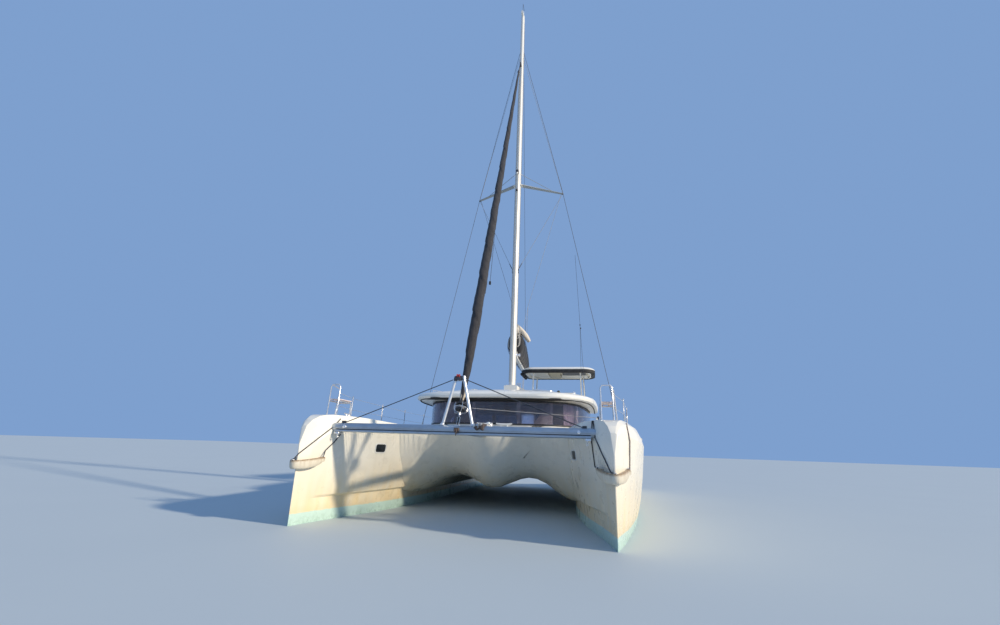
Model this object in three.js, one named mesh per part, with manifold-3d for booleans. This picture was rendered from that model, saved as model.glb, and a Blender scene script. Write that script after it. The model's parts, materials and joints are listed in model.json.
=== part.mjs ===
// Cruising catamaran afloat, in millimetres. +Z is up and z = 0 is the waterline; the bow points to -Y,
// port is +X, and the origin lies on the centreline amidships.
import * as THREE from "three";
import { mergeVertices } from "three/addons/utils/BufferGeometryUtils.js";
import Module from "manifold-3d";

const wasm = await Module();
wasm.setup();

const GAP = 0.3; // between pieces that rest on each other
const CUT = 0.4; // how far a neighbour is shifted before it cuts a piece
const RAD = Math.PI / 180;

const HULL_X = 2870; // stem of each hull, from the centreline
const STEM_Y = -6340;
const STEM_RAKE = 0.037; // how far the stem leans forward per unit of height
const DECK_Z = 1920; // side decks beside the saloon
const AFT_DECK_Z = 1820;
const CHINE_Z = [430, 480]; // step along the inner side of each hull
const MID_Z = 950;

const BEAM = { y: -5725, z: 1757, halfHeight: 92, halfDepth: 115, halfLength: 2750 };
const BRIDGE = { face: 1750, aft: 4750, sole: 1050, recess: -1950, transom: 150 };
const CABIN = { aft: 1700, wall: 60, top: 2700, glassLow: 2050, glassTop: 2690 };
const WINDOW = { low: 2090, top: 2640 };
const CEILING = { edge: 2800, middle: 2930 }; // of the saloon, near its walls and in its middle
const BULKHEAD = { y: CABIN.aft + GAP, thick: 60 };
const DOOR = { x: -480, width: 900, low: 1090, top: 2650, thick: 34 };
const HELM = { x: 1350, front: 1830, floor: 2000, wheelZ: 2950, wheelR: 380 };
const HARDTOP = { x: 1350, halfWidth: 1300, y: 2050, halfLength: 850, low: 4060, top: 4250 };
const MAST = { foot: 3372, top: 20100, y: -50, rake: 0.0347, halfWidth: 105, halfDepth: 155 };
const BOOM = { pinY: 300, pinZ: 4550, angle: 4.5, length: 5300, rise: 0.035 };
const SPREADER = { rootZ: 11080, tipX: 1660, tipY: 835, tipZ: 10940 };
const HOUNDS_Z = 17950;
const CHAINPLATE = [3400, 900, DECK_Z];
const FORESTAY = { foot: [0, -5700, 1870], head: [0, 105, 17000] };
const RUDDER = { y: 5450, stockR: 38, boreR: 38.9 };
const DRIVE = { y: 4000, propZ: -880 };
const ENGINE_BAY = { front: 3450, aft: 4420, half: 430, low: -150 };

const mastY = (z) => MAST.y + (z - MAST.foot) * MAST.rake;

// Solids

function solidOf(geometry) {
  const g = geometry.clone();
  g.deleteAttribute("normal");
  g.deleteAttribute("uv");
  const merged = mergeVertices(g, 1e-3);
  const make = (triVerts) =>
    new wasm.Manifold(
      new wasm.Mesh({ numProp: 3, vertProperties: merged.attributes.position.array, triVerts }),
    );
  const tris = new Uint32Array(merged.index.array);
  const made = make(tris);
  if (made.volume() >= 0) return made;
  for (let i = 0; i < tris.length; i += 3) [tris[i + 1], tris[i + 2]] = [tris[i + 2], tris[i + 1]];
  return make(tris);
}

function geometryOf(solid) {
  const m = solid.getMesh();
  const g = new THREE.BufferGeometry()
    .setAttribute("position", new THREE.BufferAttribute(new Float32Array(m.vertProperties), 3))
    .setIndex(new THREE.BufferAttribute(new Uint32Array(m.triVerts), 1));
  g.computeVertexNormals();
  return g;
}

const join = (first, ...rest) =>
  geometryOf(rest.reduce((sum, g) => sum.add(solidOf(g)), solidOf(first)));
const cut = (first, ...rest) =>
  geometryOf(rest.reduce((left, g) => left.subtract(solidOf(g)), solidOf(first)));
const shifted = (g, x, y, z) => g.clone().translate(x, y, z);
const mirrored = (g) => g.clone().scale(-1, 1, 1);

const box = (x0, x1, y0, y1, z0, z1) =>
  new THREE.BoxGeometry(x1 - x0, y1 - y0, z1 - z0).translate(
    (x0 + x1) / 2,
    (y0 + y1) / 2,
    (z0 + z1) / 2,
  );

// A closed skin through rings of equally many points. An end whose points lie in line is closed from
// its middle.
function loft(rings) {
  const n = rings[0].length;
  const points = rings.flat();
  const index = [];
  for (let i = 0; i < rings.length - 1; i++)
    for (let j = 0; j < n; j++) {
      const a = i * n + j;
      const b = i * n + ((j + 1) % n);
      index.push(a, a + n, b, b, a + n, b + n);
    }
  for (const [ring, start, forward] of [[rings[0], 0, true], [rings.at(-1), (rings.length - 1) * n, false]]) {
    const area = [0, 1, 2].map((k) => {
      const [u, v] = [(k + 1) % 3, (k + 2) % 3];
      const cross = (p, q) => p[u] * q[v] - p[v] * q[u];
      return Math.abs(ring.reduce((sum, p, i) => sum + cross(p, ring[(i + 1) % n]), 0));
    });
    const drop = area.indexOf(Math.max(...area));
    const flat = ring.map((p) => new THREE.Vector2(...p.filter((_, k) => k !== drop)));
    const tris = THREE.ShapeUtils.triangulateShape(flat, []);
    if (tris.length === n - 2) {
      const runsForward = tris.some((t) => t.some((v, k) => t[(k + 1) % 3] === (v + 1) % n));
      for (const [a, b, c] of tris)
        index.push(...(runsForward === forward ? [a, b, c] : [a, c, b]).map((k) => start + k));
      continue;
    }
    points.push([0, 1, 2].map((k) => ring.reduce((sum, p) => sum + p[k], 0) / n));
    for (let j = 0; j < n; j++) {
      const [a, b] = [start + j, start + ((j + 1) % n)];
      index.push(...(forward ? [a, b] : [b, a]), points.length - 1);
    }
  }
  let volume = 0;
  for (let i = 0; i < index.length; i += 3) {
    const [a, b, c] = [0, 1, 2].map((k) => new THREE.Vector3(...points[index[i + k]]));
    volume += a.dot(b.cross(c));
  }
  return new THREE.BufferGeometry()
    .setAttribute("position", new THREE.Float32BufferAttribute(points.flat(), 3))
    .setIndex(volume < 0 ? index.toReversed() : index);
}

// A polygon in two axes, run along the third.
const prism = (points, along, from, to) =>
  loft(
    [from, to].map((v) =>
      points.map((p) => {
        const q = [...p];
        q.splice(along, 0, v);
        return q;
      }),
    ),
  );

// A round bar along a polyline, mitred at its corners.
function pipe(points, radius, sides = 6) {
  const v = points.map((p) => new THREE.Vector3(...p));
  const way = v.slice(1).map((p, i) => p.clone().sub(v[i]).normalize());
  let side = new THREE.Vector3(0, 0, 1);
  if (Math.abs(way[0].z) > 0.9) side.set(1, 0, 0);
  return loft(
    v.map((p, i) => {
      const t = (way[i - 1] ?? way[0]).clone().add(way[i] ?? way.at(-1)).normalize();
      side = side.clone().sub(t.clone().multiplyScalar(side.dot(t))).normalize();
      const up = t.clone().cross(side);
      return Array.from({ length: sides }, (_, k) => {
        const a = (2 * Math.PI * k) / sides;
        return p
          .clone()
          .addScaledVector(side, radius * Math.cos(a))
          .addScaledVector(up, radius * Math.sin(a))
          .toArray();
      });
    }),
  );
}

const cylinder = (radius, x, y, z0, z1, sides = 16) =>
  new THREE.CylinderGeometry(radius, radius, z1 - z0, sides)
    .rotateX(Math.PI / 2)
    .translate(x, y, (z0 + z1) / 2);

const ellipse = (halfX, halfY, sides) =>
  Array.from({ length: sides }, (_, k) => {
    const a = (2 * Math.PI * (k + 0.5)) / sides;
    return [halfX * Math.cos(a), halfY * Math.sin(a)];
  });

const rounded = (halfX, halfY, r, steps = 3) =>
  [[1, 1], [-1, 1], [-1, -1], [1, -1]].flatMap(([sx, sy], q) =>
    Array.from({ length: steps + 1 }, (_, k) => {
      const a = ((q + k / steps) * Math.PI) / 2;
      return [sx * (halfX - r) + r * Math.cos(a), sy * (halfY - r) + r * Math.sin(a)];
    }),
  );

// Value of a table's column at y, without overshoot between its rows.
function along(rows, column, y) {
  const i = Math.max(0, rows.findLastIndex((r) => r.y <= y));
  const j = Math.min(rows.length - 1, i + 1);
  if (i === j) return rows[i][column];
  const slope = (k) =>
    k < 0 || k + 1 >= rows.length
      ? null
      : (rows[k + 1][column] - rows[k][column]) / (rows[k + 1].y - rows[k].y);
  const tangent = (a, b) => {
    if (a === null) return b;
    if (b === null) return a;
    return a * b <= 0 ? 0 : (2 * a * b) / (a + b);
  };
  const h = rows[j].y - rows[i].y;
  const t = (y - rows[i].y) / h;
  const m0 = tangent(slope(i - 1), slope(i)) * h;
  const m1 = tangent(slope(i), slope(j)) * h;
  return (
    rows[i][column] * (1 + 2 * t) * (1 - t) ** 2 +
    m0 * t * (1 - t) ** 2 +
    rows[j][column] * t * t * (3 - 2 * t) +
    m1 * t * t * (t - 1)
  );
}

const table = (columns, rows) =>
  rows.map((r) => Object.fromEntries(columns.map((name, k) => [name, r[k]])));

// Hulls. Half-widths are from the stem's own line, outboard and inboard. The inner edge of the deck is
// cut by a flat facet, which is deep at the bow and a narrow chamfer further aft.

const HULL = table(
  [
    "y", "keel", "wlOut", "wlIn", "midOut", "midIn", "topOut", "topIn", "sheer", "edgeOut", "facet", "drop",
  ],
  [
    [-6340, -300, 9, 9, 9, 9, 12, 12, 1420, 8, 6, 150],
    [-6250, -330, 24, 22, 36, 34, 75, 72, 1755, 40, 28, 560],
    [-6150, -360, 48, 44, 74, 68, 140, 130, 1870, 80, 48, 570],
    [-6000, -400, 80, 72, 128, 115, 235, 210, 1955, 140, 75, 450],
    [-5750, -450, 135, 125, 232, 205, 390, 315, 1998, 220, 72, 330],
    [-5200, -510, 240, 250, 405, 430, 560, 560, 1995, 260, 60, 120],
    [-4500, -560, 350, 430, 545, 680, 655, 783, 1957, 250, 60, 90],
    [-3500, -595, 505, 630, 695, 860, 755, 935, 1920, 230, 20, 30],
    [-2200, -615, 630, 790, 805, 935, 865, 950, 1920, 210, 20, 30],
    [-500, -625, 710, 860, 905, 950, 960, 950, 1920, 190, 20, 30],
    [1500, -605, 725, 860, 925, 950, 980, 950, 1920, 180, 20, 30],
    [2500, -560, 715, 855, 915, 950, 975, 950, 1920, 175, 20, 30],
    [3300, -505, 700, 840, 900, 950, 965, 950, 1820, 170, 20, 30],
    [4700, -370, 660, 790, 865, 930, 930, 945, 1820, 160, 20, 30],
    [5600, -220, 610, 720, 815, 880, 880, 900, 1790, 150, 20, 30],
    [6440, -60, 555, 640, 760, 815, 820, 850, 1750, 140, 20, 30],
  ],
);
const HULL_RINGS = [
  -6340, -6250, -6150, -6000, -5870, -5750, -5500, -5200, -4850, -4500, -4000, -3500, -2900, -2200,
  -1400, -500, 500, 1500, 2500, 2900, 3300, 4000, 4700, 5200, 5600, 6050, 6440,
];

function hullRing(y) {
  const c = (name) => along(HULL, name, y);
  const lean = THREE.MathUtils.clamp((-5000 - y) / 1300, 0, 1) * STEM_RAKE;
  const eo = c("edgeOut");
  const [to, ti, top] = [c("topOut"), c("topIn"), c("sheer")];
  const low = Math.min(MID_Z, top * 0.69);
  const step = c("wlIn") + 0.55 * (c("midIn") - c("wlIn"));
  return [
    [0, c("keel")],
    [0.62 * c("wlOut"), 0.62 * c("keel")],
    [c("wlOut"), 0],
    [c("wlOut") + 0.62 * (c("midOut") - c("wlOut")), CHINE_Z[1]],
    [c("midOut"), low],
    [to, top - 1.5 * eo],
    [to - 0.13 * eo, top - eo],
    [to - 0.42 * eo, top - 0.42 * eo],
    [to - eo, top],
    ...[0, 0.35, 0.7, 1].map((k) => [-ti + (1 - k) * c("facet"), top - k * c("drop")]),
    [-c("midIn"), low],
    [-step, CHINE_Z[1]],
    [-c("wlIn") - 0.2 * (step - c("wlIn")), CHINE_Z[0]],
    [-c("wlIn"), 0],
    [-0.62 * c("wlIn"), 0.62 * c("keel")],
  ].map(([x, z]) => [HULL_X + x, y - lean * Math.max(0, z), z]);
}

const hullSkin = loft(HULL_RINGS.map(hullRing));

const BOW_HATCH = { x: HULL_X - 90, y: -4520, half: 250, rim: 1978, deep: 1300 };
const hatchRim = box(
  BOW_HATCH.x - 275, BOW_HATCH.x + 275, BOW_HATCH.y - 275, BOW_HATCH.y + 275, 1850, BOW_HATCH.rim,
);
const hatchWell = box(
  BOW_HATCH.x - 225, BOW_HATCH.x + 225, BOW_HATCH.y - 225, BOW_HATCH.y + 225, BOW_HATCH.deep, 2100,
);
const engineBay = box(
  HULL_X - ENGINE_BAY.half, HULL_X + ENGINE_BAY.half,
  ENGINE_BAY.front, ENGINE_BAY.aft, ENGINE_BAY.low, 2000,
);
// The stern slopes down, and its steps lie between the coamings of the slope.
const sternSlope = prism([[4700, 1830], [6600, 660], [6600, 2400], [4700, 2400]], 0, 1500, 4300);
const STEPS = table(["from", "to", "z"], [[4760, 5230, 1300], [5229, 5700, 920], [5699, 6600, 520]]);
const steps = STEPS.map((s) => box(HULL_X - 720, HULL_X + 640, s.from, s.to, s.z, 2400));
const stockBore = cylinder(RUDDER.boreR, HULL_X, RUDDER.y, -600, 100);

const hull = cut(join(hullSkin, hatchRim), hatchWell, engineBay, sternSlope, ...steps, stockBore);

const KEEL = table(["z", "front", "aft", "half"], [[-1250, -1150, 950, 75], [-560, -1500, 1250, 130]]);
const foil = (front, aft, half) =>
  [[0, 0], [0.12, 0.75], [0.35, 1], [0.7, 0.6], [1, 0.06], [1, -0.06], [0.7, -0.6], [0.35, -1], [0.12, -0.75]]
    .map(([s, t]) => [half * t, front + (aft - front) * s]);
const foilLoft = (rows) =>
  loft(rows.map((r) => foil(r.front, r.aft, r.half).map(([x, y]) => [HULL_X + x, y, r.z])));
const keel = cut(foilLoft(KEEL), shifted(hullSkin, 0, 0, -CUT));

const RUDDER_ROWS = table(
  ["z", "front", "aft", "half"],
  [[-1200, 5370, 5670, 22], [-310, 5310, 5770, 42]],
);
const rudder = join(foilLoft(RUDDER_ROWS), cylinder(RUDDER.stockR, HULL_X, RUDDER.y, -500, 60));

const DRIVE_ROWS = table(
  ["z", "front", "aft", "half"],
  [[-820, 3860, 4080, 45], [-380, 3790, 4130, 60]],
);
const driveBody = new THREE.LatheGeometry(
  [[0, -290], [45, -250], [72, -130], [72, 60], [60, 150], [0, 150]].map((p) => new THREE.Vector2(...p)),
  12,
).translate(HULL_X, DRIVE.y, DRIVE.propZ);
const saildrive = cut(
  join(foilLoft(DRIVE_ROWS), driveBody),
  shifted(hullSkin, 0, 0, -CUT),
  new THREE.CylinderGeometry(17, 17, 80, 12).translate(HULL_X, DRIVE.y + 150, DRIVE.propZ),
);

function propellerGeometry() {
  const hub = new THREE.LatheGeometry(
    [[0, -45], [16, -45], [16, 0], [48, 0], [44, 70], [20, 110], [0, 115]]
      .map((p) => new THREE.Vector2(...p)),
    12,
  );
  const BLADE = table(["r", "half", "twist"], [[30, 38, 60], [120, 62, 42], [205, 30, 28]]);
  const blade = loft(
    BLADE.map((b) =>
      [[-1, -0.15], [0, -0.6], [1, -0.15], [1, 0.15], [0, 0.6], [-1, 0.15]].map(([s, t]) => {
        const a = b.twist * RAD;
        const [u, w] = [s * b.half, t * 9];
        return [b.r, 42 + u * Math.sin(a) + w * Math.cos(a), u * Math.cos(a) - w * Math.sin(a)];
      }),
    ),
  );
  return join(hub, ...[0, 1, 2].map((k) => blade.clone().rotateY((2 * Math.PI * k) / 3)));
}
const propeller = propellerGeometry().translate(HULL_X, DRIVE.y + 160, DRIVE.propZ);

const engine = join(
  box(HULL_X - 230, HULL_X + 230, 3620, 4330, ENGINE_BAY.low + 60, 480),
  box(HULL_X - 280, HULL_X + 280, 3700, 4250, ENGINE_BAY.low + GAP, ENGINE_BAY.low + 80),
);
const engineHatch = prism(
  rounded(ENGINE_BAY.half + 50, (ENGINE_BAY.aft - ENGINE_BAY.front) / 2 + 50, 60),
  2, AFT_DECK_Z + GAP, AFT_DECK_Z + 32,
).translate(HULL_X, (ENGINE_BAY.aft + ENGINE_BAY.front) / 2, 0);
const bowHatch = prism(rounded(290, 290, 60), 2, BOW_HATCH.rim + GAP, BOW_HATCH.rim + 30)
  .translate(BOW_HATCH.x, BOW_HATCH.y, 0);

// Bridgedeck: floor of saloon and cockpit, with the foredeck block and the nacelle below it.

const UNDERSIDE = table(
  ["x", "z", "front", "run"],
  [
    [0, 500, -3690, 1330], [200, 520, -3675, 1330], [400, 610, -3625, 1360], [650, 705, -3570, 1400],
    [880, 755, -3555, 1400], [1100, 735, -3565, 1400], [1350, 640, -3600, 1380], [1600, 480, -3670, 1360],
    [1800, 370, -3770, 1350], [2000, 320, -3930, 1350], [2350, 290, -4200, 1350],
  ],
);
// The front of the bridgedeck turns under: shares of the way aft and down at each point.
const FACE = table(["aft", "down"], [[0, 0], [0.13, 0.3], [0.3, 0.56], [0.51, 0.79], [0.74, 0.94], [1, 1]]);
function bridgeRing(p, side) {
  const face = FACE.map((f) => [p.front + f.aft * p.run, BRIDGE.face - f.down * (BRIDGE.face - p.z)]);
  return [[BRIDGE.aft, DECK_Z], [p.front, DECK_Z], ...face, [BRIDGE.aft, p.z]]
    .map(([y, z]) => [side * p.x, y, z]);
}
const bridgeBlock = loft([
  ...UNDERSIDE.toReversed().map((p) => bridgeRing(p, -1)),
  ...UNDERSIDE.slice(1).map((p) => bridgeRing(p, 1)),
]);
const soleBox = box(-2400, 2400, BRIDGE.recess, BRIDGE.aft - BRIDGE.transom, BRIDGE.sole, 2100);
const transomCut = box(-2400, 2400, BRIDGE.aft - BRIDGE.transom - 10, BRIDGE.aft + 10, 1500, 2100);
const LOCKER = { x: 900, y: -2960, halfX: 330, halfY: 230, deep: 1250 };
const lockerWell = box(
  LOCKER.x - LOCKER.halfX, LOCKER.x + LOCKER.halfX,
  LOCKER.y - LOCKER.halfY, LOCKER.y + LOCKER.halfY, LOCKER.deep, 2100,
);
const hullCutter = shifted(hullSkin, -CUT, 0, 0);
const bridgedeck = cut(
  bridgeBlock,
  hullCutter, mirrored(hullCutter), lockerWell, mirrored(lockerWell), soleBox, transomCut,
);
const lockerLid = prism(rounded(LOCKER.halfX + 40, LOCKER.halfY + 40, 60), 2, DECK_Z + GAP, DECK_Z + 30)
  .translate(LOCKER.x, LOCKER.y, 0);
const bridgeCutter = shifted(bridgeBlock, 0, -CUT, 0);

// Gear between the bows.

const beamTube = loft(
  [-BEAM.halfLength, BEAM.halfLength].map((x) =>
    ellipse(BEAM.halfDepth, BEAM.halfHeight, 14).map(([y, z]) => [x, BEAM.y + y, BEAM.z + z]),
  ),
);
const ROLLER = { x: 420, front: -5930 };
const rollerCheeks = [-48, 36].map((x) =>
  prism([[-5930, 1800], [-5930, 1890], [-5700, 1900], [-5700, 1760]], 0, ROLLER.x + x, ROLLER.x + x + 12),
);
const rollerBar = pipe([[ROLLER.x - 46, -5890, 1850], [ROLLER.x + 46, -5890, 1850]], 30, 10);
const crossbeam = cut(
  join(beamTube, ...rollerCheeks, rollerBar),
  hullCutter, mirrored(hullCutter),
);
const TRAMPOLINE = { aft: -3500, low: 1752, top: 1766, inner: 80 + GAP };
const spine = cut(
  prism([[-80, 1690], [80, 1690], [80, 1800], [-80, 1800]], 1, -5700, TRAMPOLINE.aft),
  shifted(beamTube, 0, CUT, 0), bridgeCutter,
);
const APEX = { z: 2745, halfBase: 310, halfTop: 85 };
const beamTop = BEAM.z + BEAM.halfHeight;
const aFrame = cut(
  join(
    box(-115, 115, BEAM.y - 12, BEAM.y + 12, APEX.z - 50, APEX.z + 30),
    ...[-1, 1].flatMap((s) => [
      pipe([[s * APEX.halfBase, BEAM.y, beamTop - 40], [s * APEX.halfTop, BEAM.y, APEX.z]], 30, 10),
      pipe([[s * 80, BEAM.y, APEX.z], [s * 2400, BEAM.y, beamTop - 5]], 9, 6),
      box(s * 2400 - 40, s * 2400 + 40, BEAM.y - 20, BEAM.y + 20, beamTop - 60, beamTop + 40),
    ]),
  ),
  shifted(beamTube, 0, 0, CUT),
);

const netBlank = prism(
  [
    [TRAMPOLINE.inner, -5700], [2600, -5700], [2400, TRAMPOLINE.aft], [TRAMPOLINE.inner, TRAMPOLINE.aft],
  ],
  2, TRAMPOLINE.low, TRAMPOLINE.top,
);
const trampoline = cut(netBlank, hullCutter, shifted(beamTube, 0, CUT, 0), bridgeCutter);

// Crescent fenders round the stems: lowest at the nose, with thin ends.
const FENDER = { nose: -6530, tail: -5940, low: 965, top: 1120, tailLow: 1100, tailTop: 1185 };
const fenderPlan = (grow) =>
  [[0, FENDER.nose], [75, -6500], [170, -6330], [262, -6010], [250, FENDER.tail], [0, FENDER.tail],
    [-295, FENDER.tail], [-300, -6010], [-180, -6330], [-75, -6500]]
    .map(([x, y]) => [HULL_X + x * grow, STEM_Y + (y - STEM_Y) * (y < STEM_Y ? grow : 1)]);
const bowFender = cut(
  loft(
    [[0, 0.72], [0.3, 0.96], [0.85, 1], [1, 0.93]].map(([up, grow]) =>
      fenderPlan(grow).map(([x, y]) => {
        const t = (y - FENDER.nose) / (FENDER.tail - FENDER.nose);
        const low = THREE.MathUtils.lerp(FENDER.low, FENDER.tailLow, t);
        return [x, y, THREE.MathUtils.lerp(low, THREE.MathUtils.lerp(FENDER.top, FENDER.tailTop, t), up)];
      }),
    ),
  ),
  shifted(hullSkin, 0, -1, 0),
);

function stayLathe(profile) {
  const foot = new THREE.Vector3(...FORESTAY.foot);
  const head = new THREE.Vector3(...FORESTAY.head);
  const turn = new THREE.Quaternion().setFromUnitVectors(
    new THREE.Vector3(0, 1, 0),
    head.clone().sub(foot).normalize(),
  );
  const length = foot.distanceTo(head);
  return new THREE.LatheGeometry(profile(length).map((p) => new THREE.Vector2(...p)), 10)
    .applyQuaternion(turn)
    .translate(...foot.toArray());
}
// Radius and distance up the stay: toggle, drum, rolled sail, swivel, bare stay.
const furledGenoa = cut(
  stayLathe((length) => [
    [0, -60], [22, -60], [22, 290], [105, 295], [105, 320], [72, 330], [72, 400], [105, 410], [105, 430],
    [34, 440], [34, 560], [62, 700], [98, 1300], [122, 2600], [112, 5600], [88, 9600], [60, 13200],
    [38, 15100], [38, 15500], [14, 15510], [14, length - 30], [0, length - 30],
  ]),
  shifted(beamTube, 0, 0, CUT),
);

// Saloon.

const CABIN_PLAN = [
  [0, -2390], [900, -2330], [1450, -2200], [1850, -1920], [2120, -1450], [2270, -850], [2360, -100],
  [2430, 800], [2430, CABIN.aft],
];
function cabinPath(grow, aft) {
  const half = CABIN_PLAN.map(([x, y], i) => {
    const a = CABIN_PLAN[i - 1] ?? [-CABIN_PLAN[1][0], CABIN_PLAN[1][1]];
    const b = CABIN_PLAN[i + 1] ?? [x, y + 100];
    const n = new THREE.Vector2(b[1] - a[1], a[0] - b[0]).normalize();
    return [x + n.x * grow, y + n.y * grow];
  });
  half[half.length - 1][1] = aft;
  return [...half, ...half.slice(1).reverse().map(([x, y]) => [-x, y])];
}
// Each window: its middle on the wall's line, the way it faces, and its width.
const WINDOWS = table(
  ["x", "y", "turn", "width"],
  [
    [0, -2390, 0, 1150], [1060, -2300, 10, 800], [1815, -1850, 48, 880], [2250, -790, 80, 1180],
    [2395, 320, 86, 760], [2430, 1200, 90, 700],
  ],
);
const windowCutters = WINDOWS.flatMap((w) => {
  const one = box(-w.width / 2, w.width / 2, -160, 160, WINDOW.low, WINDOW.top)
    .rotateZ(w.turn * RAD)
    .translate(w.x, w.y, 0);
  return w.x ? [one, mirrored(one)] : [one];
});
const saloonWalls = cut(
  prism(cabinPath(0, CABIN.aft), 2, DECK_Z + GAP, CABIN.top - GAP),
  prism(cabinPath(-CABIN.wall, CABIN.aft + 200), 2, DECK_Z - 10, CABIN.top + 10),
  ...windowCutters,
);
const saloonGlass = cut(
  prism(cabinPath(11, CABIN.aft - 80), 2, CABIN.glassLow, CABIN.glassTop),
  prism(cabinPath(GAP, CABIN.aft + 200), 2, CABIN.glassLow - 10, CABIN.glassTop + 10),
);

const INNER_X = HULL_X - 950; // inner side of each hull along saloon and cockpit
const bulkhead = cut(
  prism(
    [
      [-2430, DECK_Z + GAP], [-INNER_X + 1, DECK_Z + GAP], [-INNER_X + 1, BRIDGE.sole + GAP],
      [INNER_X - 1, BRIDGE.sole + GAP], [INNER_X - 1, DECK_Z + GAP], [2430, DECK_Z + GAP],
      [2430, CABIN.top - GAP], [-2430, CABIN.top - GAP],
    ],
    1, BULKHEAD.y, BULKHEAD.y + BULKHEAD.thick,
  ),
  box(DOOR.x - 410, DOOR.x + 410, 1600, 1900, 1130, 2610),
  box(-1780, -1020, 1600, 1900, 1500, 2610),
  box(60, 480, 1600, 1900, 1500, 2610),
  box(560, 2200, 1600, 1900, 2060, 2610),
);
const doorFace = BULKHEAD.y + BULKHEAD.thick;
const saloonDoor = prism(
  rounded(DOOR.width / 2, (DOOR.top - DOOR.low) / 2, 40), 1, doorFace + GAP, doorFace + GAP + DOOR.thick,
).translate(DOOR.x, 0, (DOOR.top + DOOR.low) / 2);
const windowPane = (x0, x1, z0, z1) => box(x0, x1, doorFace - 36, doorFace - 28, z0, z1);
const aftWindows = {
  port: windowPane(560.4, 2199.6, 2060.4, 2609.6),
  starboard: windowPane(-1779.6, -1020.4, 1500.4, 2609.6),
};

const ROOF = table(
  ["y", "half", "low", "side", "crown"],
  [
    [-2800, 1150, 2745, 2785, 2812], [-2760, 1500, 2705, 2812, 2850], [-2620, 1900, 2700, 2832, 2912],
    [-2320, 2250, 2700, 2848, 2972], [-1900, 2460, 2700, 2865, 3035], [-1300, 2600, 2700, 2885, 3115],
    [-400, 2670, 2700, 2912, 3225], [600, 2700, 2700, 2942, 3310], [1720, 2715, 2700, 2975, 3350],
    [1800, 2715, 2870, 2980, 3350], [3000, 2720, 2900, 3000, 3335], [4100, 2690, 2925, 3010, 3280],
    [4350, 2560, 2960, 3015, 3200],
  ],
);
const roofRing = (r) => {
  const half = [
    [r.half - 90, r.low], [r.half - 20, r.low + 30], [r.half, (r.low + r.side) / 2],
    [r.half - 40, r.side - 20], [r.half - 160, r.side + 25],
    [r.half * 0.6, r.side + (r.crown - r.side) * 0.72], [r.half * 0.3, r.side + (r.crown - r.side) * 0.94],
  ];
  return [...half, [0, r.crown], ...half.toReversed().map(([x, z]) => [-x, z])].map(([x, z]) => [x, r.y, z]);
};
const HELM_CUT = box(560, 2140, 1790, 3120, 2600, 3600);
const POSTS = [[2260, 4130], [-2260, 4130]];
const coachroof = cut(
  join(
    loft(ROOF.map(roofRing)),
    box(-210, 210, -330, 240, 3200, MAST.foot - GAP),
    ...POSTS.map(([x, y]) => cylinder(38, x, y, AFT_DECK_Z + GAP, 3150, 12)),
  ),
  prism(cabinPath(-150, 1600), 2, 2600, CEILING.edge),
  box(-1700, 1700, -1700, 1600, 2600, CEILING.middle),
  box(-2300, 2300, 1900, 4050, 2600, 2990),
  HELM_CUT,
);

const settee = join(
  box(-1900, -700, -1850, -1250, BRIDGE.sole + GAP, 1480),
  box(-1900, -1350, -1850, 300, BRIDGE.sole + GAP, 1480),
  box(-1900, -1770, -1850, 300, 1400, 1900),
  box(-1900, -700, -1850, -1730, 1400, 1900),
  box(-1700, -560, -900, -760, BRIDGE.sole + GAP, 1120),
  box(-760, -620, -950, -100, BRIDGE.sole + GAP, 1160),
  cylinder(60, -690, -520, 1100, 1760, 10),
  box(-1180, -380, -1000, -60, 1740, 1775),
);
const galley = join(
  box(560, 1900, -1850, -1250, BRIDGE.sole + GAP, 1900),
  box(1330, 1900, -1850, 1300, BRIDGE.sole + GAP, 1900),
);
// A pleated curtain behind each front corner window, hung from the roof and following the wall's bend.
const CURTAIN = { path: [[1784, -1870], [2040, -1424], [2101, -1188]], pleats: 12, deep: 24, thick: 13 };
function curtainLine(extra) {
  const points = CURTAIN.path.map((p) => new THREE.Vector2(...p));
  const first = points[0].distanceTo(points[1]);
  const whole = first + points[1].distanceTo(points[2]);
  return Array.from({ length: CURTAIN.pleats + 1 }, (_, i) => {
    const run = (whole * i) / CURTAIN.pleats;
    const [a, b, t] = run < first
      ? [points[0], points[1], run / first]
      : [points[1], points[2], (run - first) / (whole - first)];
    const inward = b.clone().sub(a).normalize().rotateAround(new THREE.Vector2(), Math.PI / 2);
    return a.clone().lerp(b, t).addScaledVector(inward, (i % 2) * CURTAIN.deep + extra);
  });
}
const curtain = loft(
  [WINDOW.low - 30, CABIN.top - GAP].map((z) =>
    [...curtainLine(0), ...curtainLine(CURTAIN.thick).reverse()].map((p) => [p.x, p.y, z]),
  ),
);

// Cockpit.

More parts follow.
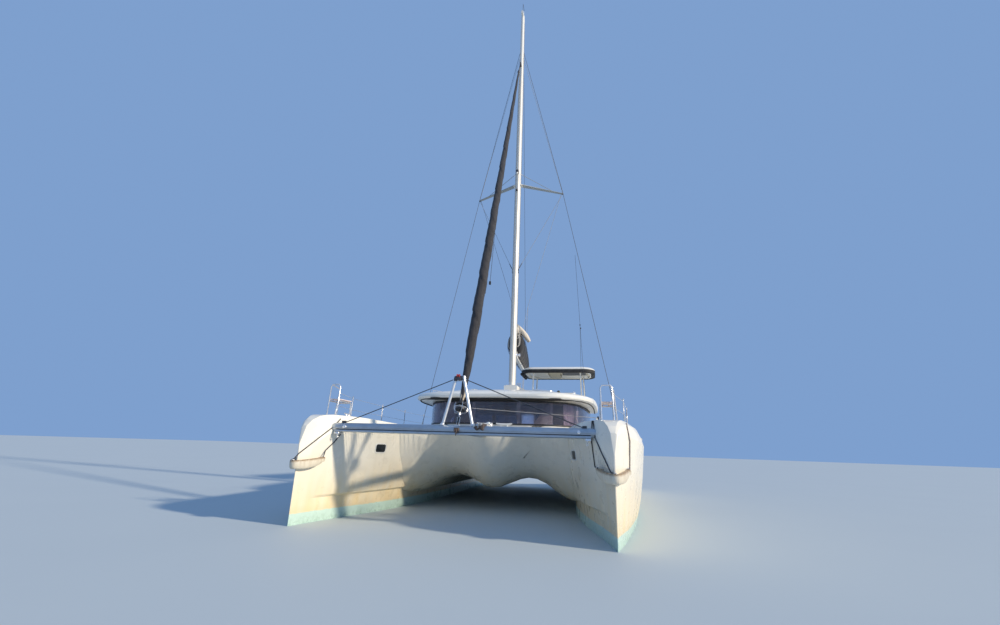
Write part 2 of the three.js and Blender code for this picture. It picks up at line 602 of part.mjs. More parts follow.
const cockpitBench = join(
  box(-1100, INNER_X - 3, 4050, BRIDGE.aft - 150 - GAP, BRIDGE.sole + GAP, 1480),
  box(-1100, INNER_X - 3, 4470, BRIDGE.aft - 150 - GAP, 1400, 1900),
  box(1350, INNER_X - 3, 3200, 4300, BRIDGE.sole + GAP, 1480),
);
const cockpitTable = join(
  cylinder(60, 600, 3560, BRIDGE.sole + GAP, 1760, 12),
  cylinder(220, 600, 3560, BRIDGE.sole + GAP, BRIDGE.sole + 22, 16),
  prism(rounded(480, 340, 60), 2, 1750, 1785).translate(600, 3560, 0),
);
const helmStation = cut(
  join(
    box(620, INNER_X - 3, HELM.front, 3060, BRIDGE.sole + GAP, HELM.floor),
    prism(
      [
        [HELM.front, 1990], [HELM.front, 3420], [HELM.front + 130, 3420], [HELM.front + 250, 3250],
        [HELM.front + 250, 1990],
      ],
      0, 720, 1860,
    ),
    box(720, 1860, 2660, 3050, 1990, 2440),
    box(760, 1820, 2960, 3050, 2400, 2900),
    box(640, 760, 1980, 2380, 1400, HELM.floor + 10),
  ),
  new THREE.CylinderGeometry(17, 17, 120, 12).translate(HELM.x, HELM.front + 250, HELM.wheelZ),
);
const wheelY = HELM.front + 330;
const helmWheel = join(
  new THREE.TorusGeometry(HELM.wheelR, 15, 5, 20).rotateX(Math.PI / 2),
  new THREE.CylinderGeometry(48, 48, 50, 12),
  new THREE.CylinderGeometry(16, 16, 130, 12).translate(0, -60, 0),
  ...[0, 1, 2, 3, 4].map((k) =>
    pipe([[0, 0, 0], [0, 0, HELM.wheelR]], 10, 5).rotateY((2 * Math.PI * k) / 5),
  ),
).translate(HELM.x, wheelY, HELM.wheelZ);
const HARDTOP_POSTS = table(["x", "y"], [[470, 1420], [2180, 1420], [430, 2780], [2260, 2780]]);
const HARDTOP_ROWS = table(
  ["z", "across", "along"],
  [
    [HARDTOP.low, 0.955, 0.93], [HARDTOP.low + 50, 1, 1], [HARDTOP.top - 60, 1, 1],
    [HARDTOP.top, 0.94, 0.91],
  ],
);
const hardtopShell = loft(
  HARDTOP_ROWS.map((r) =>
    rounded(HARDTOP.halfWidth * r.across, HARDTOP.halfLength * r.along, 420, 5)
      .map(([x, y]) => [x + HARDTOP.x, y + HARDTOP.y, r.z]),
  ),
);
const hardtopRecess = prism(rounded(1120, 680, 300, 4), 2, 3900, HARDTOP.low + 70)
  .translate(HARDTOP.x, HARDTOP.y, 0);
const roofCutter = shifted(join(loft(ROOF.map(roofRing))), 0, 0, CUT);
const helmHardtop = cut(
  join(
    cut(hardtopShell, hardtopRecess),
    ...HARDTOP_POSTS.map((p) =>
      pipe([[p.x, p.y, 3100], [p.x + (HARDTOP.x - p.x) * 0.04, p.y, HARDTOP.top - 60]], 24, 10),
    ),
  ),
  roofCutter,
);

// Spars and stays.

const mastRing = (z, scale) =>
  ellipse(MAST.halfWidth * scale, MAST.halfDepth * scale, 14).map(([x, y]) => [x, mastY(z) + y, z]);
const spreader = (s) =>
  loft(
    [
      [60, mastY(SPREADER.rootZ), SPREADER.rootZ, 115, 24],
      [SPREADER.tipX, SPREADER.tipY, SPREADER.tipZ, 58, 14],
    ].map(([x, y, z, chord, thick]) => ellipse(chord, thick, 8).map(([u, w]) => [s * x, y + u, z + w])),
  );
const jumper = (s) =>
  pipe([[0, mastY(11600) - 100, 11600], [s * 1330, 705, 10975]], 10, 6);
const lugY = mastY(BOOM.pinZ) + MAST.halfDepth;
const mast = join(
  loft([[MAST.foot, 1], [15000, 1], [MAST.top, 0.68]].map(([z, scale]) => mastRing(z, scale))),
  box(-170, 170, -240, 180, MAST.foot, MAST.foot + 30),
  box(-40, 40, mastY(MAST.top) - 260, mastY(MAST.top) + 240, MAST.top - 80, MAST.top + 60),
  pipe([[0, mastY(MAST.top) + 190, MAST.top], [0, mastY(MAST.top) + 190, 20650]], 9, 6),
  box(-30, 30, lugY - 60, BOOM.pinY + 30, BOOM.pinZ - 30, BOOM.pinZ + 30),
  cylinder(15, 0, BOOM.pinY, BOOM.pinZ - 110, BOOM.pinZ + 110, 12),
  ...[-1, 1].flatMap((s) => [spreader(s), jumper(s)]),
);

const boomZ = (s) => s * BOOM.rise;
const boomBar = loft(
  [90, BOOM.length].map((s) => rounded(72, 115, 50, 2).map(([x, z]) => [x, s, z + boomZ(s)])),
);
const boom = cut(
  join(
    boomBar,
    ...[-62, 62].map((z) => box(-48, 48, -48, 110, z - 30, z + 30)),
  ),
  cylinder(16, 0, 0, -200, 200, 12),
).translate(0, 0, BOOM.pinZ);
const BAG = table(
  ["s", "half", "low", "top"],
  [
    [230, 225, -60, 690], [420, 300, -70, 840], [1500, 310, -70, 760], [3200, 260, -60, 590],
    [4700, 185, -40, 430], [5150, 110, -20, 340],
  ],
);
const bagRing = (r) =>
  [
    [0.42, 0], [0.85, 0.22], [1, 0.5], [0.86, 0.8], [0.5, 1],
    [-0.5, 1], [-0.86, 0.8], [-1, 0.5], [-0.85, 0.22], [-0.42, 0],
  ].map(([u, v]) => [u * r.half, r.s, BOOM.pinZ + boomZ(r.s) + r.low + v * (r.top - r.low)]);
const sailBag = cut(loft(BAG.map(bagRing)), shifted(boom, 0, 0, CUT), boom.clone().scale(1.006, 1, 1));
const SAIL = table(
  ["s", "half", "deep"],
  [
    [230, 105, 240], [420, 150, 290], [1500, 150, 270], [3200, 120, 200], [4700, 80, 130], [5150, 45, 80],
  ],
);
const stowedSail = loft(
  SAIL.map((r, i) => {
    const z = BOOM.pinZ + boomZ(r.s) + BAG[i].top + GAP;
    return [[0.7, 0], [1, 0.4], [0.75, 0.8], [0, 1], [-0.75, 0.8], [-1, 0.4], [-0.7, 0]]
      .map(([u, v]) => [u * r.half, r.s, z + v * r.deep]);
  }),
);

// Cap shrouds, each in two lengths that meet on the spreader's end.
const shroudTop = [72, mastY(HOUNDS_Z), HOUNDS_Z];
const shroudBend = [SPREADER.tipX + 12, SPREADER.tipY, SPREADER.tipZ];
const [plateX, plateY, plateZ] = CHAINPLATE;
const mastHead = loft([[15000, 1], [MAST.top, 0.68]].map(([z, scale]) => mastRing(z, scale)));
const upperShroud = cut(
  pipe([shroudTop, [shroudBend[0], shroudBend[1], shroudBend[2] + 8]], 8),
  shifted(mastHead, CUT, 0, 0), shifted(spreader(1), CUT, 0, 0),
);
const lowerShroud = cut(
  join(
    pipe([[shroudBend[0], shroudBend[1], shroudBend[2] - 8], [plateX, plateY, plateZ + 60]], 8),
    box(plateX - 12, plateX + 12, plateY - 35, plateY + 35, plateZ + GAP, plateZ + 110),
    pipe([[plateX - 30, plateY - 0.4, plateZ + 200], [plateX - 4, plateY, plateZ + 70]], 17, 8),
  ),
  shifted(spreader(1), CUT, 0, 0), shifted(upperShroud, 0, 0, -CUT),
);

// Rails.

const PULPIT = { y: -5560, rear: -5060, seatZ: 2330, top: 2650, bar: 16 };
const seatBar = PULPIT.seatZ - 11 - PULPIT.bar;
const pulpit = join(
  pipe(
    [
      [2705, PULPIT.y, 1974], [2700, PULPIT.y, 2600], [2735, PULPIT.y, PULPIT.top],
      [2880, PULPIT.y, PULPIT.top], [2915, PULPIT.y, 2600], [2930, PULPIT.y, 1975],
    ],
    PULPIT.bar,
  ),
  pipe([[2890, PULPIT.y, PULPIT.top - 10], [2960, -5140, 2600], [3010, -5140, 1950]], PULPIT.bar),
  pipe([[2690, PULPIT.rear, 1960], [2700, PULPIT.rear, seatBar], [2700, PULPIT.y, seatBar]], PULPIT.bar),
  pipe([[2700, PULPIT.rear, seatBar], [2950, PULPIT.rear, seatBar], [2920, PULPIT.y, seatBar]], PULPIT.bar),
  pipe([[2950, PULPIT.rear, seatBar], [2985, -5140, seatBar - 36]], PULPIT.bar),
);
const deckCutter = shifted(hullSkin, 0, 0, CUT);
const pulpitRail = cut(pulpit, deckCutter);
const pulpitSeat = prism(
  [[2690, PULPIT.y + 20], [2925, PULPIT.y + 20], [2950, -5170], [2950, -5045], [2690, -5045]],
  2, PULPIT.seatZ - 10.6, PULPIT.seatZ + 20,
);

const STANCHIONS = table(
  ["x", "y"],
  [[3200, -4150], [3400, -2150], [3520, -300], [3590, 1550], [3620, 3200]],
);
const lifelineRun = (height, startX) =>
  pipe([[startX, -5118, height + 20], ...STANCHIONS.map((p) => [p.x, p.y, height])], 5, 5);
const lifeline = cut(
  join(
    lifelineRun(2500, 2976),
    lifelineRun(2230, 2998),
    ...STANCHIONS.map((p) => cylinder(13, p.x, p.y, 1700, 2540, 6)),
  ),
  deckCutter,
);
const pushpit = cut(
  join(
    pipe(
      [
        [3630, 3420, 1700], [3640, 3420, 2470], [3600, 4450, 2470], [3450, 4640, 2470], [3150, 4640, 2470],
        [3130, 4640, 1700],
      ],
      13,
    ),
    pipe([[3640, 3420, 2150], [3600, 4450, 2150], [3450, 4640, 2150], [3150, 4640, 2150]], 11, 6),
    cylinder(13, 3600, 4450, 1700, 2470, 8),
  ),
  deckCutter,
);

// Scene graph.

const paint = (color, roughness = 0.4, metalness = 0) =>
  new THREE.MeshStandardMaterial({ color, roughness, metalness });
const GELCOAT = paint(0xe9e6da, 0.3);
const ALUMINIUM = paint(0xc4c6c6, 0.35, 0.9);
const STEEL = paint(0xcfd2d4, 0.2, 1);
const GLASS = paint(0x1b2126, 0.1);
const WOOD = paint(0xb08a78, 0.6);
const VINYL = paint(0xdcd6c2, 0.5);
const CLOTH = paint(0xd8d2cc, 0.9);
const SAILCLOTH = paint(0xe4dfd0, 0.8);
const COVER = paint(0x2c2d31, 0.9);
const NET = paint(0xdedcd4, 0.9);
const BRONZE = paint(0x8f7a4a, 0.4, 0.9);
const IRON = paint(0x5a5f63, 0.6, 0.5);

const boat = new THREE.Group();
const add = (parent, name, geometry, material) => {
  const mesh = new THREE.Mesh(geometry, material);
  mesh.name = name;
  parent.add(mesh);
};

for (const [side, s] of [["port", 1], ["starboard", -1]]) {
  const half = new THREE.Group();
  half.scale.x = s;
  boat.add(half);
  for (const [name, geometry, material] of [
    ["hull", hull, GELCOAT],
    ["keel", keel, GELCOAT],
    ["rudder", rudder, GELCOAT],
    ["saildrive", saildrive, IRON],
    ["propeller", propeller, BRONZE],
    ["engine", engine, IRON],
    ["engine_hatch", engineHatch, GELCOAT],
    ["bow_hatch", bowHatch, GLASS],
    ["locker_lid", lockerLid, GELCOAT],
    ["trampoline", trampoline, NET],
    ["bow_fender", bowFender, VINYL],
    ["pulpit", pulpitRail, STEEL],
    ["pulpit_seat", pulpitSeat, WOOD],
    ["lifeline", lifeline, STEEL],
    ["pushpit", pushpit, STEEL],
    ["cap_shroud_upper", upperShroud, STEEL],
    ["cap_shroud_lower", lowerShroud, STEEL],
    ["curtain", curtain, CLOTH],
  ])
    add(half, `${name}_${side}`, geometry, material);
  add(boat, `aft_window_${side}`, aftWindows[side], GLASS);
}

for (const [name, geometry, material] of [
  ["bridgedeck", bridgedeck, GELCOAT],
  ["crossbeam", crossbeam, ALUMINIUM],
  ["bow_spine", spine, ALUMINIUM],
  ["a_frame", aFrame, STEEL],
  ["furled_genoa", furledGenoa, COVER],
  ["saloon_walls", saloonWalls, GELCOAT],
  ["saloon_glass", saloonGlass, GLASS],
  ["aft_bulkhead", bulkhead, GELCOAT],
  ["saloon_door", saloonDoor, GLASS],
  ["coachroof", coachroof, GELCOAT],
  ["settee", settee, CLOTH],
  ["galley", galley, WOOD],
  ["cockpit_bench", cockpitBench, GELCOAT],
  ["cockpit_table", cockpitTable, WOOD],
  ["helm_station", helmStation, GELCOAT],
  ["helm_wheel", helmWheel, STEEL],
  ["helm_hardtop", helmHardtop, GELCOAT],
  ["mast", mast, ALUMINIUM],
])
  add(boat, name, geometry, material);

const boomGroup = new THREE.Group();
boomGroup.position.set(0, BOOM.pinY, 0);
boomGroup.rotation.z = BOOM.angle * RAD;
add(boomGroup, "boom", boom, ALUMINIUM);
add(boomGroup, "sail_bag", sailBag, COVER);
add(boomGroup, "stowed_sail", stowedSail, SAILCLOTH);
boat.add(boomGroup);

export default boat;
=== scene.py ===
import functools
import json
from math import cos, pi, radians, sin

import bmesh
import bpy
from mathutils import Matrix, Vector
from mathutils.bvhtree import BVHTree


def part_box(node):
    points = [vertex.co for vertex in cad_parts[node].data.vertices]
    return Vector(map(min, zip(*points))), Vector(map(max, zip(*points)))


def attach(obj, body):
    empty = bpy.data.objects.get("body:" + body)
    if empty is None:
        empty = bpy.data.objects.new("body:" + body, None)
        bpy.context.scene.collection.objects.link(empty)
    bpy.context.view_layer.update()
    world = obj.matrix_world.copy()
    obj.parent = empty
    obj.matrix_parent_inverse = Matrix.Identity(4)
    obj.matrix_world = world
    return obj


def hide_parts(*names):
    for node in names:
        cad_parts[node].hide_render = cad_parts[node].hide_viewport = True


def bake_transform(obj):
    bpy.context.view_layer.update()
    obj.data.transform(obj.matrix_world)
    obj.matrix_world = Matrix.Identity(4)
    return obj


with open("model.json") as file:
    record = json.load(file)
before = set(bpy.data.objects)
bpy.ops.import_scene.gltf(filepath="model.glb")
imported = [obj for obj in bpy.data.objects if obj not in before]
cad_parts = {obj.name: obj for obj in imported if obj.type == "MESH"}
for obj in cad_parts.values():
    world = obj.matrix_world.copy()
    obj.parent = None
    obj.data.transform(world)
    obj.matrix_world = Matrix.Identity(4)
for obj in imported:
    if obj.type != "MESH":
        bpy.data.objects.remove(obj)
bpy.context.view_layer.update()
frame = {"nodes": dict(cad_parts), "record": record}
NODES = frame["nodes"]
BODY_OF = {n: body for body, names in frame["record"]["behaviour"]["bodies"].items() for n in names}
SIDES = (("port", 1), ("starboard", -1))
PHOTO = (1000, 625)
# The middle of a hull and of the helm, in x.
HULL_X, HELM_X = 2.87, 1.35

# camera
CAMERA = Vector((2.57, -13.95, 1.46))
YAW, PITCH, ROLL = (radians(a) for a in (12.38, 17.37, 1.92))
FOCAL = 433.0


def camera_axes():
    ahead = Vector((-sin(YAW) * cos(PITCH), cos(YAW) * cos(PITCH), sin(PITCH)))
    right = Vector((cos(YAW), sin(YAW), 0))
    up = right.cross(ahead)
    across = right * cos(ROLL) + up * sin(ROLL)
    return across, up * cos(ROLL) - right * sin(ROLL), ahead


ACROSS, UPWARD, AHEAD = camera_axes()
camera_data = bpy.data.cameras.new("camera")
camera_data.sensor_width = 36
camera_data.lens = 36 * FOCAL / PHOTO[0]
camera_data.clip_end = 500
camera = bpy.data.objects.new("camera", camera_data)
camera.matrix_world = Matrix.Translation(CAMERA) @ Matrix((ACROSS, UPWARD, -AHEAD)).transposed().to_4x4()
bpy.context.scene.collection.objects.link(camera)
bpy.context.scene.camera = camera

# shapes
# A shape is (vertices, faces).


def loft(rings, caps=True):
    """Faces between closed rings of points, and one over each end."""
    n = len(rings[0])
    verts = [tuple(p) for ring in rings for p in ring]
    faces = []
    for i in range(len(rings) - 1):
        for j in range(n):
            k = (j + 1) % n
            faces.append((i * n + j, i * n + k, (i + 1) * n + k, (i + 1) * n + j))
    if caps:
        last = (len(rings) - 1) * n
        faces += [tuple(reversed(range(n))), tuple(range(last, last + n))]
    return verts, faces


def merged(*shapes):
    verts, faces = [], []
    for v, f in shapes:
        faces += [tuple(i + len(verts) for i in face) for face in f]
        verts += v
    return verts, faces


def moved(shape, matrix):
    return [tuple(matrix @ Vector(v)) for v in shape[0]], shape[1]


def shifted(shape, x, y, z):
    return moved(shape, Matrix.Translation((x, y, z)))


def curve_through(points, per):
    """Catmull-Rom points through points, per steps to a span."""
    p = [Vector(q) for q in points]
    if per < 2 or len(p) < 3:
        return p
    p = [p[0] * 2 - p[1], *p, p[-1] * 2 - p[-2]]
    out = []
    for a, b, c, d in zip(p, p[1:], p[2:], p[3:]):
        for k in range(per):
            t = k / per
            out.append(0.5 * (2 * b + (c - a) * t + (2 * a - 5 * b + 4 * c - d) * t * t
                              + (3 * b - a - 3 * c + d) * t ** 3))
    return [*out, p[-2]]


def steps_between(a, b, n):
    a, b = Vector(a), Vector(b)
    return [a.lerp(b, k / n) for k in range(n + 1)]


def tube(points, radius, sides=8, per=1, ring=None):
    """A bar along points. radius is a number or one number a point; ring(k, angle) scales it."""
    p = curve_through(points, per)
    radii = [radius] * len(p) if isinstance(radius, (int, float)) else curve_numbers(radius, per)
    way = [(b - a).normalized() for a, b in zip(p, p[1:])]
    side = Vector((0, 0, 1)) if abs(way[0].z) < 0.9 else Vector((1, 0, 0))
    rings = []
    for k, q in enumerate(p):
        t = (way[max(0, k - 1)] + way[min(k, len(way) - 1)]).normalized()
        side = (side - t * side.dot(t)).normalized()
        up = t.cross(side)
        rings.append([
            q + (side * cos(a) + up * sin(a)) * radii[k] * (ring(k, a) if ring else 1)
            for a in (2 * pi * j / sides for j in range(sides))
        ])
    return loft(rings)


def curve_numbers(values, per):
    return [v.x for v in curve_through([Vector((v, 0, 0)) for v in values], per)]


def lathe(profile, sides=24, at=(0, 0, 0), axis=(0, 0, 1)):
    """Rings of (radius, height) round axis, from at."""
    turn = Vector((0, 0, 1)).rotation_difference(Vector(axis)).to_matrix().to_4x4()
    rings = [
        [(r * cos(a), r * sin(a), h) for a in (2 * pi * j / sides for j in range(sides))]
        for r, h in ((max(r, 2e-4), h) for r, h in profile)
    ]
    return moved(loft(rings), Matrix.Translation(at) @ turn)


def spool(radii, heights, at, axis=(1, 0, 0), sides=16):
    """A pulley block or roller: radii of end, shoulder and middle, and the first two's distances from it."""
    (end, shoulder, middle), (h0, h1) = radii, heights
    return lathe([(end, -h0), (shoulder, -h1), (middle, 0), (shoulder, h1), (end, h0)], sides, at, axis)


def inset(outline, by):
    """A counter-clockwise outline drawn in by a distance."""
    p = [Vector(q) for q in outline]
    out = []
    for a, b, c in zip([p[-1], *p[:-1]], p, [*p[1:], p[0]]):
        u, v = (b - a).normalized(), (c - b).normalized()
        n1, n2 = Vector((-u.y, u.x)), Vector((-v.y, v.x))
        n = (n1 + n2).normalized() if (n1 + n2).length > 1e-6 else n1
        out.append(b + n * (by / max(0.35, n.dot(n1))))
    return out


def stepped(outline, steps, caps=False):
    """An outline drawn in by a distance at each height: steps are (distance, height)."""
    return loft([[(q.x, q.y, z) for q in inset(outline, by)] for by, z in steps], caps)


def slab(outline, low, high, edge=0.004):
    """An outline with height and softened edges."""
    return stepped(outline, [(edge, low), (0, low + edge), (0, high - edge), (edge * 0.3, high - edge * 0.3),
                             (edge, high)], caps=True)


def rounded(half_x, half_y, r, steps=4):
    r = min(r, half_x, half_y)
    return [
        (sx * (half_x - r) + r * cos(a), sy * (half_y - r) + r * sin(a))
        for q, (sx, sy) in enumerate(((1, 1), (-1, 1), (-1, -1), (1, -1)))
        for a in ((q + k / steps) * pi / 2 for k in range(steps + 1))
    ]


def block(x0, x1, y0, y1, z0, z1, r=0.01):
    """A box with rounded upright corners and softened edges."""
    shape = slab(rounded((x1 - x0) / 2, (y1 - y0) / 2, r, 3), z0, z1, min(0.004, (z1 - z0) / 4))
    return shifted(shape, (x0 + x1) / 2, (y0 + y1) / 2, 0)


def on_face(point, normal, up=(0, 0, 1)):
    """The matrix that puts a shape's +Z along normal and its +Y towards up, at point."""
    z = Vector(normal).normalized()
    x = Vector(up).cross(z).normalized()
    y = z.cross(x)
    return Matrix.Translation(point) @ Matrix((x, y, z)).transposed().to_4x4()


# pieces


def piece(name, shape, look, body="boat", sharp=35, replaces=(), bevel=0, subdivide=0):
    """A visible object from one shape or a list of shapes."""
    verts, faces = merged(*shape) if isinstance(shape, list) else shape
    mesh = bpy.data.meshes.new(name)
    mesh.from_pydata(verts, [], faces)
    work = bmesh.new()
    work.from_mesh(mesh)
    bmesh.ops.remove_doubles(work, verts=work.verts, dist=1e-5)
    bmesh.ops.recalc_face_normals(work, faces=work.faces)
    work.to_mesh(mesh)
    work.free()
    mesh.materials.append(look)
    mesh.shade_smooth()
    mesh.set_sharp_from_angle(angle=radians(sharp))
    o = bpy.data.objects.new(name, mesh)
    bpy.context.scene.collection.objects.link(o)
    if bevel:
        m = o.modifiers.new("edges", "BEVEL")
        m.width, m.segments, m.limit_method, m.angle_limit = bevel, 2, "ANGLE", radians(28)
    if subdivide:
        m = o.modifiers.new("smooth", "SUBSURF")
        m.levels = m.render_levels = subdivide
    if body:
        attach(o, body)
    if replaces:
        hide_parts(*replaces)
    return o


def welded(node):
    """A CAD node's faces with shared corners and its flat areas whole."""
    work = bmesh.new()
    work.from_mesh(NODES[node].data)
    bmesh.ops.remove_doubles(work, verts=work.verts, dist=5e-5)
    bmesh.ops.dissolve_limit(work, angle_limit=radians(0.4), verts=work.verts, edges=work.edges)
    work.verts.index_update()
    shape = [tuple(v.co) for v in work.verts], [tuple(v.index for v in f.verts) for f in work.faces]
    work.free()
    return shape


def dressed(node, look, sharp, bevel):
    """The CAD node's own form with shared normals and softened edges."""
    return piece(node + "_skin", welded(node), look, BODY_OF[node], sharp, [node], bevel)


def paint(look, node):
    data = NODES[node].data
    data.materials.clear()
    data.materials.append(look)


def tree_from(mesh):
    return BVHTree.FromPolygons([v.co.copy() for v in mesh.vertices],
                                [tuple(p.vertices) for p in mesh.polygons])


@functools.cache
def tree_of(node):
    return tree_from(NODES[node].data)


def hit(origin, direction, *nodes):
    """Where a ray first meets one of the nodes: (point, normal towards the ray's origin)."""
    origin, direction = Vector(origin), Vector(direction).normalized()
    best = None
    for n in nodes:
        point, normal, _, far = tree_of(n).ray_cast(origin, direction)
        if point and (best is None or far < best[2]):
            best = (point, normal if normal.dot(direction) < 0 else -normal, far)
    if best is None:
        raise RuntimeError(f"nothing of {nodes} lies that way from {tuple(origin)}")
    return best[:2]


def pixel_ray(px, py):
    return AHEAD * FOCAL + ACROSS * (px - PHOTO[0] / 2) - UPWARD * (py - PHOTO[1] / 2)


def pixel_at_y(px, py, y):
    ray = pixel_ray(px, py)
    return CAMERA + ray * ((y - CAMERA.y) / ray.y)


# looks


def shade(colour, by, plus=0.0):
    return tuple(min(1, c * by + plus) for c in colour)


class Look:
    """A procedural material whose patterns are fixed to the part's own frame."""

    def __init__(self, name, colour, rough=0.5, **sockets):
        self.material = bpy.data.materials.new(name)
        self.material.use_nodes = True
        self.tree = self.material.node_tree
        self.shader = self.tree.nodes["Principled BSDF"]
        self.coords = self.tree.nodes.new("ShaderNodeTexCoord")
        self.place = self.coords.outputs["Object"]
        self.shader.inputs["Base Color"].default_value = (*colour, 1)
        self.shader.inputs["Roughness"].default_value = rough
        for socket, value in sockets.items():
            self.shader.inputs[socket.replace("_", " ")].default_value = value
        self.colour = (*colour, 1)
        self.last_bump = None

    def node(self, kind, inputs=(), **settings):
        n = self.tree.nodes.new(kind)
        for key, value in settings.items():
            setattr(n, key, value)
        for key, value in dict(inputs).items():
            if isinstance(value, bpy.types.NodeSocket):
                self.tree.links.new(value, n.inputs[key])
            else:
                n.inputs[key].default_value = value
        return n

    def scaled(self, x, y, z):
        return self.node("ShaderNodeMapping", {"Vector": self.place, "Scale": (x, y, z)}).outputs["Vector"]

    def noise(self, scale, detail=3, stretch=None, rough=0.5, distortion=0.0):
        where = self.scaled(*stretch) if stretch else self.place
        return self.node("ShaderNodeTexNoise", {
            "Vector": where, "Scale": scale, "Detail": detail, "Roughness": rough, "Distortion": distortion,
        }).outputs["Fac"]

    def cells(self, scale):
        return self.node("ShaderNodeTexVoronoi", {"Vector": self.place, "Scale": scale}).outputs["Distance"]

    def wave(self, scale, along, stretch=None):
        where = self.scaled(*stretch) if stretch else self.place
        return self.node("ShaderNodeTexWave", {"Vector": where, "Scale": scale},
                         bands_direction=along).outputs["Fac"]

    def ramp(self, value, low, high, to=(0.0, 1.0)):
        return self.node("ShaderNodeMapRange", {
            "Value": value, "From Min": low, "From Max": high, "To Min": to[0], "To Max": to[1],
        }).outputs["Result"]

    def math(self, operation, a, b=0.0):
        return self.node("ShaderNodeMath", {0: a, 1: b}, operation=operation).outputs[0]

    def axis(self, name, source=None):
        return self.node("ShaderNodeSeparateXYZ", {0: source or self.place}).outputs[name]

    def facing(self, name):
        return self.axis(name, self.coords.outputs["Normal"])

    def tint(self, share, colour):
        mix = self.node("ShaderNodeMix", data_type="RGBA")
        factor, a, b = mix.inputs[0], mix.inputs[6], mix.inputs[7]
        for socket, value in ((factor, share), (a, self.colour), (b, (*colour, 1))):
            if isinstance(value, bpy.types.NodeSocket):
                self.tree.links.new(value, socket)
            else:
                socket.default_value = value
        self.colour = mix.outputs[2]
        self.tree.links.new(self.colour, self.shader.inputs["Base Color"])
        return self

    def bump(self, height, distance, strength=1.0):
        inputs = {"Height": height, "Distance": distance, "Strength": strength}
        if self.last_bump:
            inputs["Normal"] = self.last_bump
        self.last_bump = self.node("ShaderNodeBump", inputs).outputs["Normal"]
        self.tree.links.new(self.last_bump, self.shader.inputs["Normal"])
        return self

    def roughness(self, value, low, high):
        self.tree.links.new(self.ramp(value, 0.25, 0.75, (low, high)), self.shader.inputs["Roughness"])
        return self


def gelcoat(name, colour, rough=0.3, grip=False, afloat=False):
    """Gloss gelcoat: mottled and chalky, with rain streaks, and a moulded grip on what faces up."""
    k = Look(name, colour, rough, Coat_Weight=0.25, Coat_Roughness=0.12)
    k.tint(k.ramp(k.noise(0.9, 4), 0.42, 0.68, (0, 0.5)), shade(colour, 1.07, 0.02))
    k.tint(k.ramp(k.noise(2.6, 5, rough=0.65), 0.55, 0.8, (0, 0.2)), (0.68, 0.63, 0.52))
    streak = k.math("MULTIPLY", k.ramp(k.noise(7, 3, (1, 1, 0.05)), 0.52, 0.74),
                    k.ramp(k.noise(1.1, 2), 0.4, 0.65, (0.03, 0.16)))
    k.tint(streak, (0.54, 0.49, 0.40))
    if afloat:
        z = k.axis("Z")
        wander = k.ramp(k.noise(0.7, 3), 0, 1, (-0.22, 0.22))
        height = k.math("ADD", z, wander)
        runs = k.ramp(k.noise(6, 4, (1, 1, 0.06)), 0.3, 0.7, (0.5, 1.0))
        k.tint(k.math("MULTIPLY", k.ramp(height, 1.2, 0.25, (0, 0.85)), runs), (0.86, 0.66, 0.33))
        k.tint(k.ramp(k.math("ADD", z, k.ramp(k.noise(3, 3), 0, 1, (-0.05, 0.05))), 0.33, 0.22, (0, 0.3)),
               (0.68, 0.54, 0.32))
        line = k.math("ADD", z, k.ramp(k.noise(9, 4), 0, 1, (-0.018, 0.018)))
        k.tint(k.ramp(line, 0.205, 0.189), (0.55, 0.73, 0.66))
        low, growth = k.ramp(line, 0.17, 0.02), k.ramp(k.noise(14, 5, rough=0.7), 0.4, 0.62, (0.1, 0.6))
        k.tint(k.math("MULTIPLY", low, growth), (0.24, 0.38, 0.30))
    if grip:
        up = k.ramp(k.facing("Z"), 0.93, 0.985)
        inland = k.ramp(k.noise(1.3, 2), 0.35, 0.6, (0.75, 1))
        k.tint(k.math("MULTIPLY", up, k.math("MULTIPLY", inland, 0.55)), (0.60, 0.58, 0.51))
        k.bump(k.math("MULTIPLY", up, k.cells(260)), 0.0012, 0.8)
    k.bump(k.noise(3.2, 2), 0.004, 0.12)
    k.bump(k.noise(120, 2), 0.0002, 0.35)
    k.roughness(k.noise(4.5, 4), rough - 0.08, rough + 0.18)
    return k.material


def metal(name, colour, rough, grain=(1, 1, 1), dull=0.25, metallic=1.0):
    """Drawn or cast metal: fine lines along the grain, and a dull bloom with small stains."""
    k = Look(name, colour, rough, Metallic=metallic)
    k.tint(k.ramp(k.noise(6, 4), 0.45, 0.75, (0, dull)), shade(colour, 0.62))
    k.tint(k.ramp(k.noise(38, 5, rough=0.7), 0.66, 0.8, (0, dull * 0.9)), (0.33, 0.26, 0.18))
    k.bump(k.noise(240, 2, grain), 0.0003, 0.35)
    k.roughness(k.noise(12, 3), max(0.06, rough - 0.08), rough + 0.14)
    return k.material


def cloth(name, colour, dark, weave=700, rough=0.85, fold=0.0, sheen=0.3):
    """Woven cloth: a plain weave, lighter where it faces up, with dirt in the folds."""
    k = Look(name, colour, rough, Sheen_Weight=sheen, Sheen_Roughness=0.5)
    k.tint(k.ramp(k.noise(3.5, 4), 0.35, 0.7, (0, 0.55)), dark)
    # lighter where the surface faces up
    k.tint(k.ramp(k.facing("Z"), 0.2, 0.95, (0, 0.22)), shade(colour, 1.35, 0.012))
    k.tint(k.ramp(k.noise(16, 5, rough=0.7), 0.62, 0.8, (0, 0.35)), shade(dark, 0.5))
    warp = k.math("MAXIMUM", k.wave(weave, "X"), k.wave(weave, "Z"))
    k.bump(warp, 0.0004, 0.5)
    if fold:
        k.bump(k.noise(9, 3, distortion=0.6), fold, 0.5)
    k.roughness(k.noise(20, 3), rough - 0.1, min(1, rough + 0.1))
    return k.material


